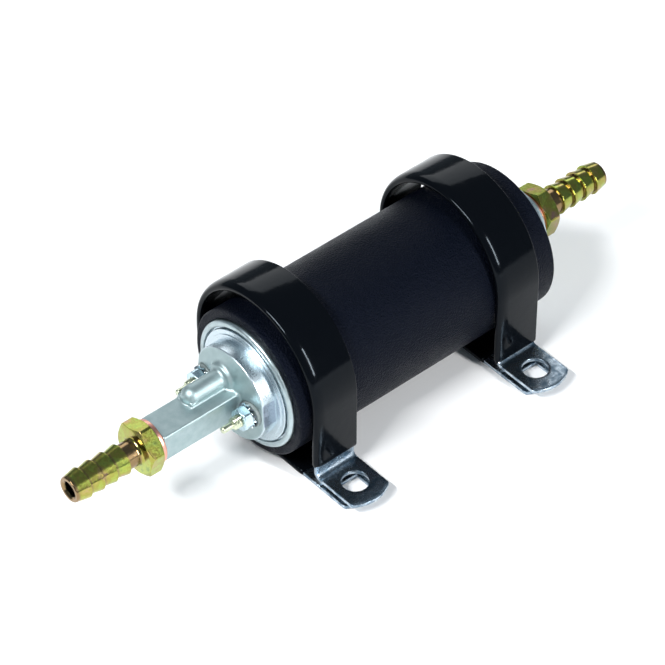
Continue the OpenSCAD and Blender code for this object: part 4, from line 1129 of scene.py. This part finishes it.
def place_lights(context):
    """Soft boxes given as (name, place, width and length, power), all aimed at the sleeve, and a pale blue
    world."""
    middle = Vector((0.0, 0.03, 0.01))
    for name, spot, size, power in (
            ("left_strip", (-0.62, 0.03, 0.79), (0.5, 0.08), 12.0),
            ("front_strip", (0.155, -0.84, 0.46), (0.08, 0.6), 9.5),
            ("back_box", (0.55, 0.8, 0.6), (0.9, 0.5), 3.2)):
        data = bpy.data.lights.new(name, "AREA")
        data.shape, data.size, data.size_y, data.energy = "RECTANGLE", size[0], size[1], power
        lamp = bpy.data.objects.new(name, data)
        lamp.location = spot
        lamp.rotation_euler = (middle - Vector(spot)).to_track_quat("-Z", "Y").to_euler()
        context.scene.collection.objects.link(lamp)
    world = bpy.data.worlds.new("studio")
    context.scene.world = world
    world.use_nodes = True
    sky = world.node_tree.nodes["Background"]
    sky.inputs["Color"].default_value = (0.7, 0.86, 1.0, 1)
    sky.inputs["Strength"].default_value = 0.25


def place_camera(context):
    """The photograph's camera: a long lens far off, looking down on the outlet from the tab side. The focal
    length is in the image's pixels, and the distance and aim are in pump millimetres."""
    azimuth, elevation, roll = (math.radians(v) for v in (-41.018, 43.525, 0.016))
    focal, distance, image_width, sensor = 3601.2, 1100.26, 665, 36.0
    back = np.array([math.sin(azimuth) * math.cos(elevation), -math.cos(azimuth) * math.cos(elevation),
                     math.sin(elevation)])
    flat = np.array([math.cos(azimuth), math.sin(azimuth), 0.0])
    upright = np.cross(back, flat)
    right = math.cos(roll) * flat + math.sin(roll) * upright
    up = np.cross(back, right)
    target = np.array([40.0, 0.0, 0.0]) - 3.763 * right - 2.28 * up
    place = in_frame(target + back * distance)
    data = bpy.data.cameras.new("photo_camera")
    data.sensor_width, data.lens = sensor, focal / image_width * sensor
    data.clip_start, data.clip_end = 0.05, 20.0
    camera = bpy.data.objects.new("photo_camera", data)
    camera.matrix_world = Matrix([[right[k], up[k], back[k], place[k]] for k in range(3)] + [[0, 0, 0, 1]])
    context.scene.collection.objects.link(camera)
    context.scene.camera = camera


class PUMP_PT_dressing(bpy.types.Panel):
    """Lists the pump's pieces"""
    bl_idname = "PUMP_PT_dressing"
    bl_label = "Fuel pump"
    bl_space_type = "VIEW_3D"
    bl_region_type = "UI"
    bl_category = "Fuel Pump"

    def draw(self, context):
        for group in (context.scene.pump_sizes, context.scene.pump_finishes):
            for name in group.bl_rna.properties.keys():
                if name not in ("rna_type", "name"):
                    self.layout.prop(group, name)
        for operator in OPERATORS:
            self.layout.operator(operator.bl_idname)


OPERATORS = (PUMP_OT_can, PUMP_OT_sleeve, PUMP_OT_clamps, PUMP_OT_outlet_head, PUMP_OT_inlet_head,
             PUMP_OT_fittings, PUMP_OT_terminals, PUMP_OT_springs, PUMP_OT_inner_parts, PUMP_OT_stage)
CLASSES = (PumpFinishes, PumpSizes, *OPERATORS, PUMP_PT_dressing)


def register():
    """Makes the settings, the operators and the panel known to Blender."""
    for c in CLASSES:
        bpy.utils.register_class(c)
    bpy.types.Scene.pump_finishes = bpy.props.PointerProperty(type=PumpFinishes)
    bpy.types.Scene.pump_sizes = bpy.props.PointerProperty(type=PumpSizes)


def unregister():
    """Takes them away again."""
    del bpy.types.Scene.pump_sizes
    del bpy.types.Scene.pump_finishes
    for c in reversed(CLASSES):
        bpy.utils.unregister_class(c)


def main():
    """Makes every piece in order."""
    register()
    bpy.ops.pump.can()
    bpy.ops.pump.sleeve()
    bpy.ops.pump.clamps()
    bpy.ops.pump.outlet_head()
    bpy.ops.pump.inlet_head()
    bpy.ops.pump.fittings()
    bpy.ops.pump.terminals()
    bpy.ops.pump.springs()
    bpy.ops.pump.inner_parts()
    bpy.ops.pump.stage()


if __name__ == "__main__":
    main()
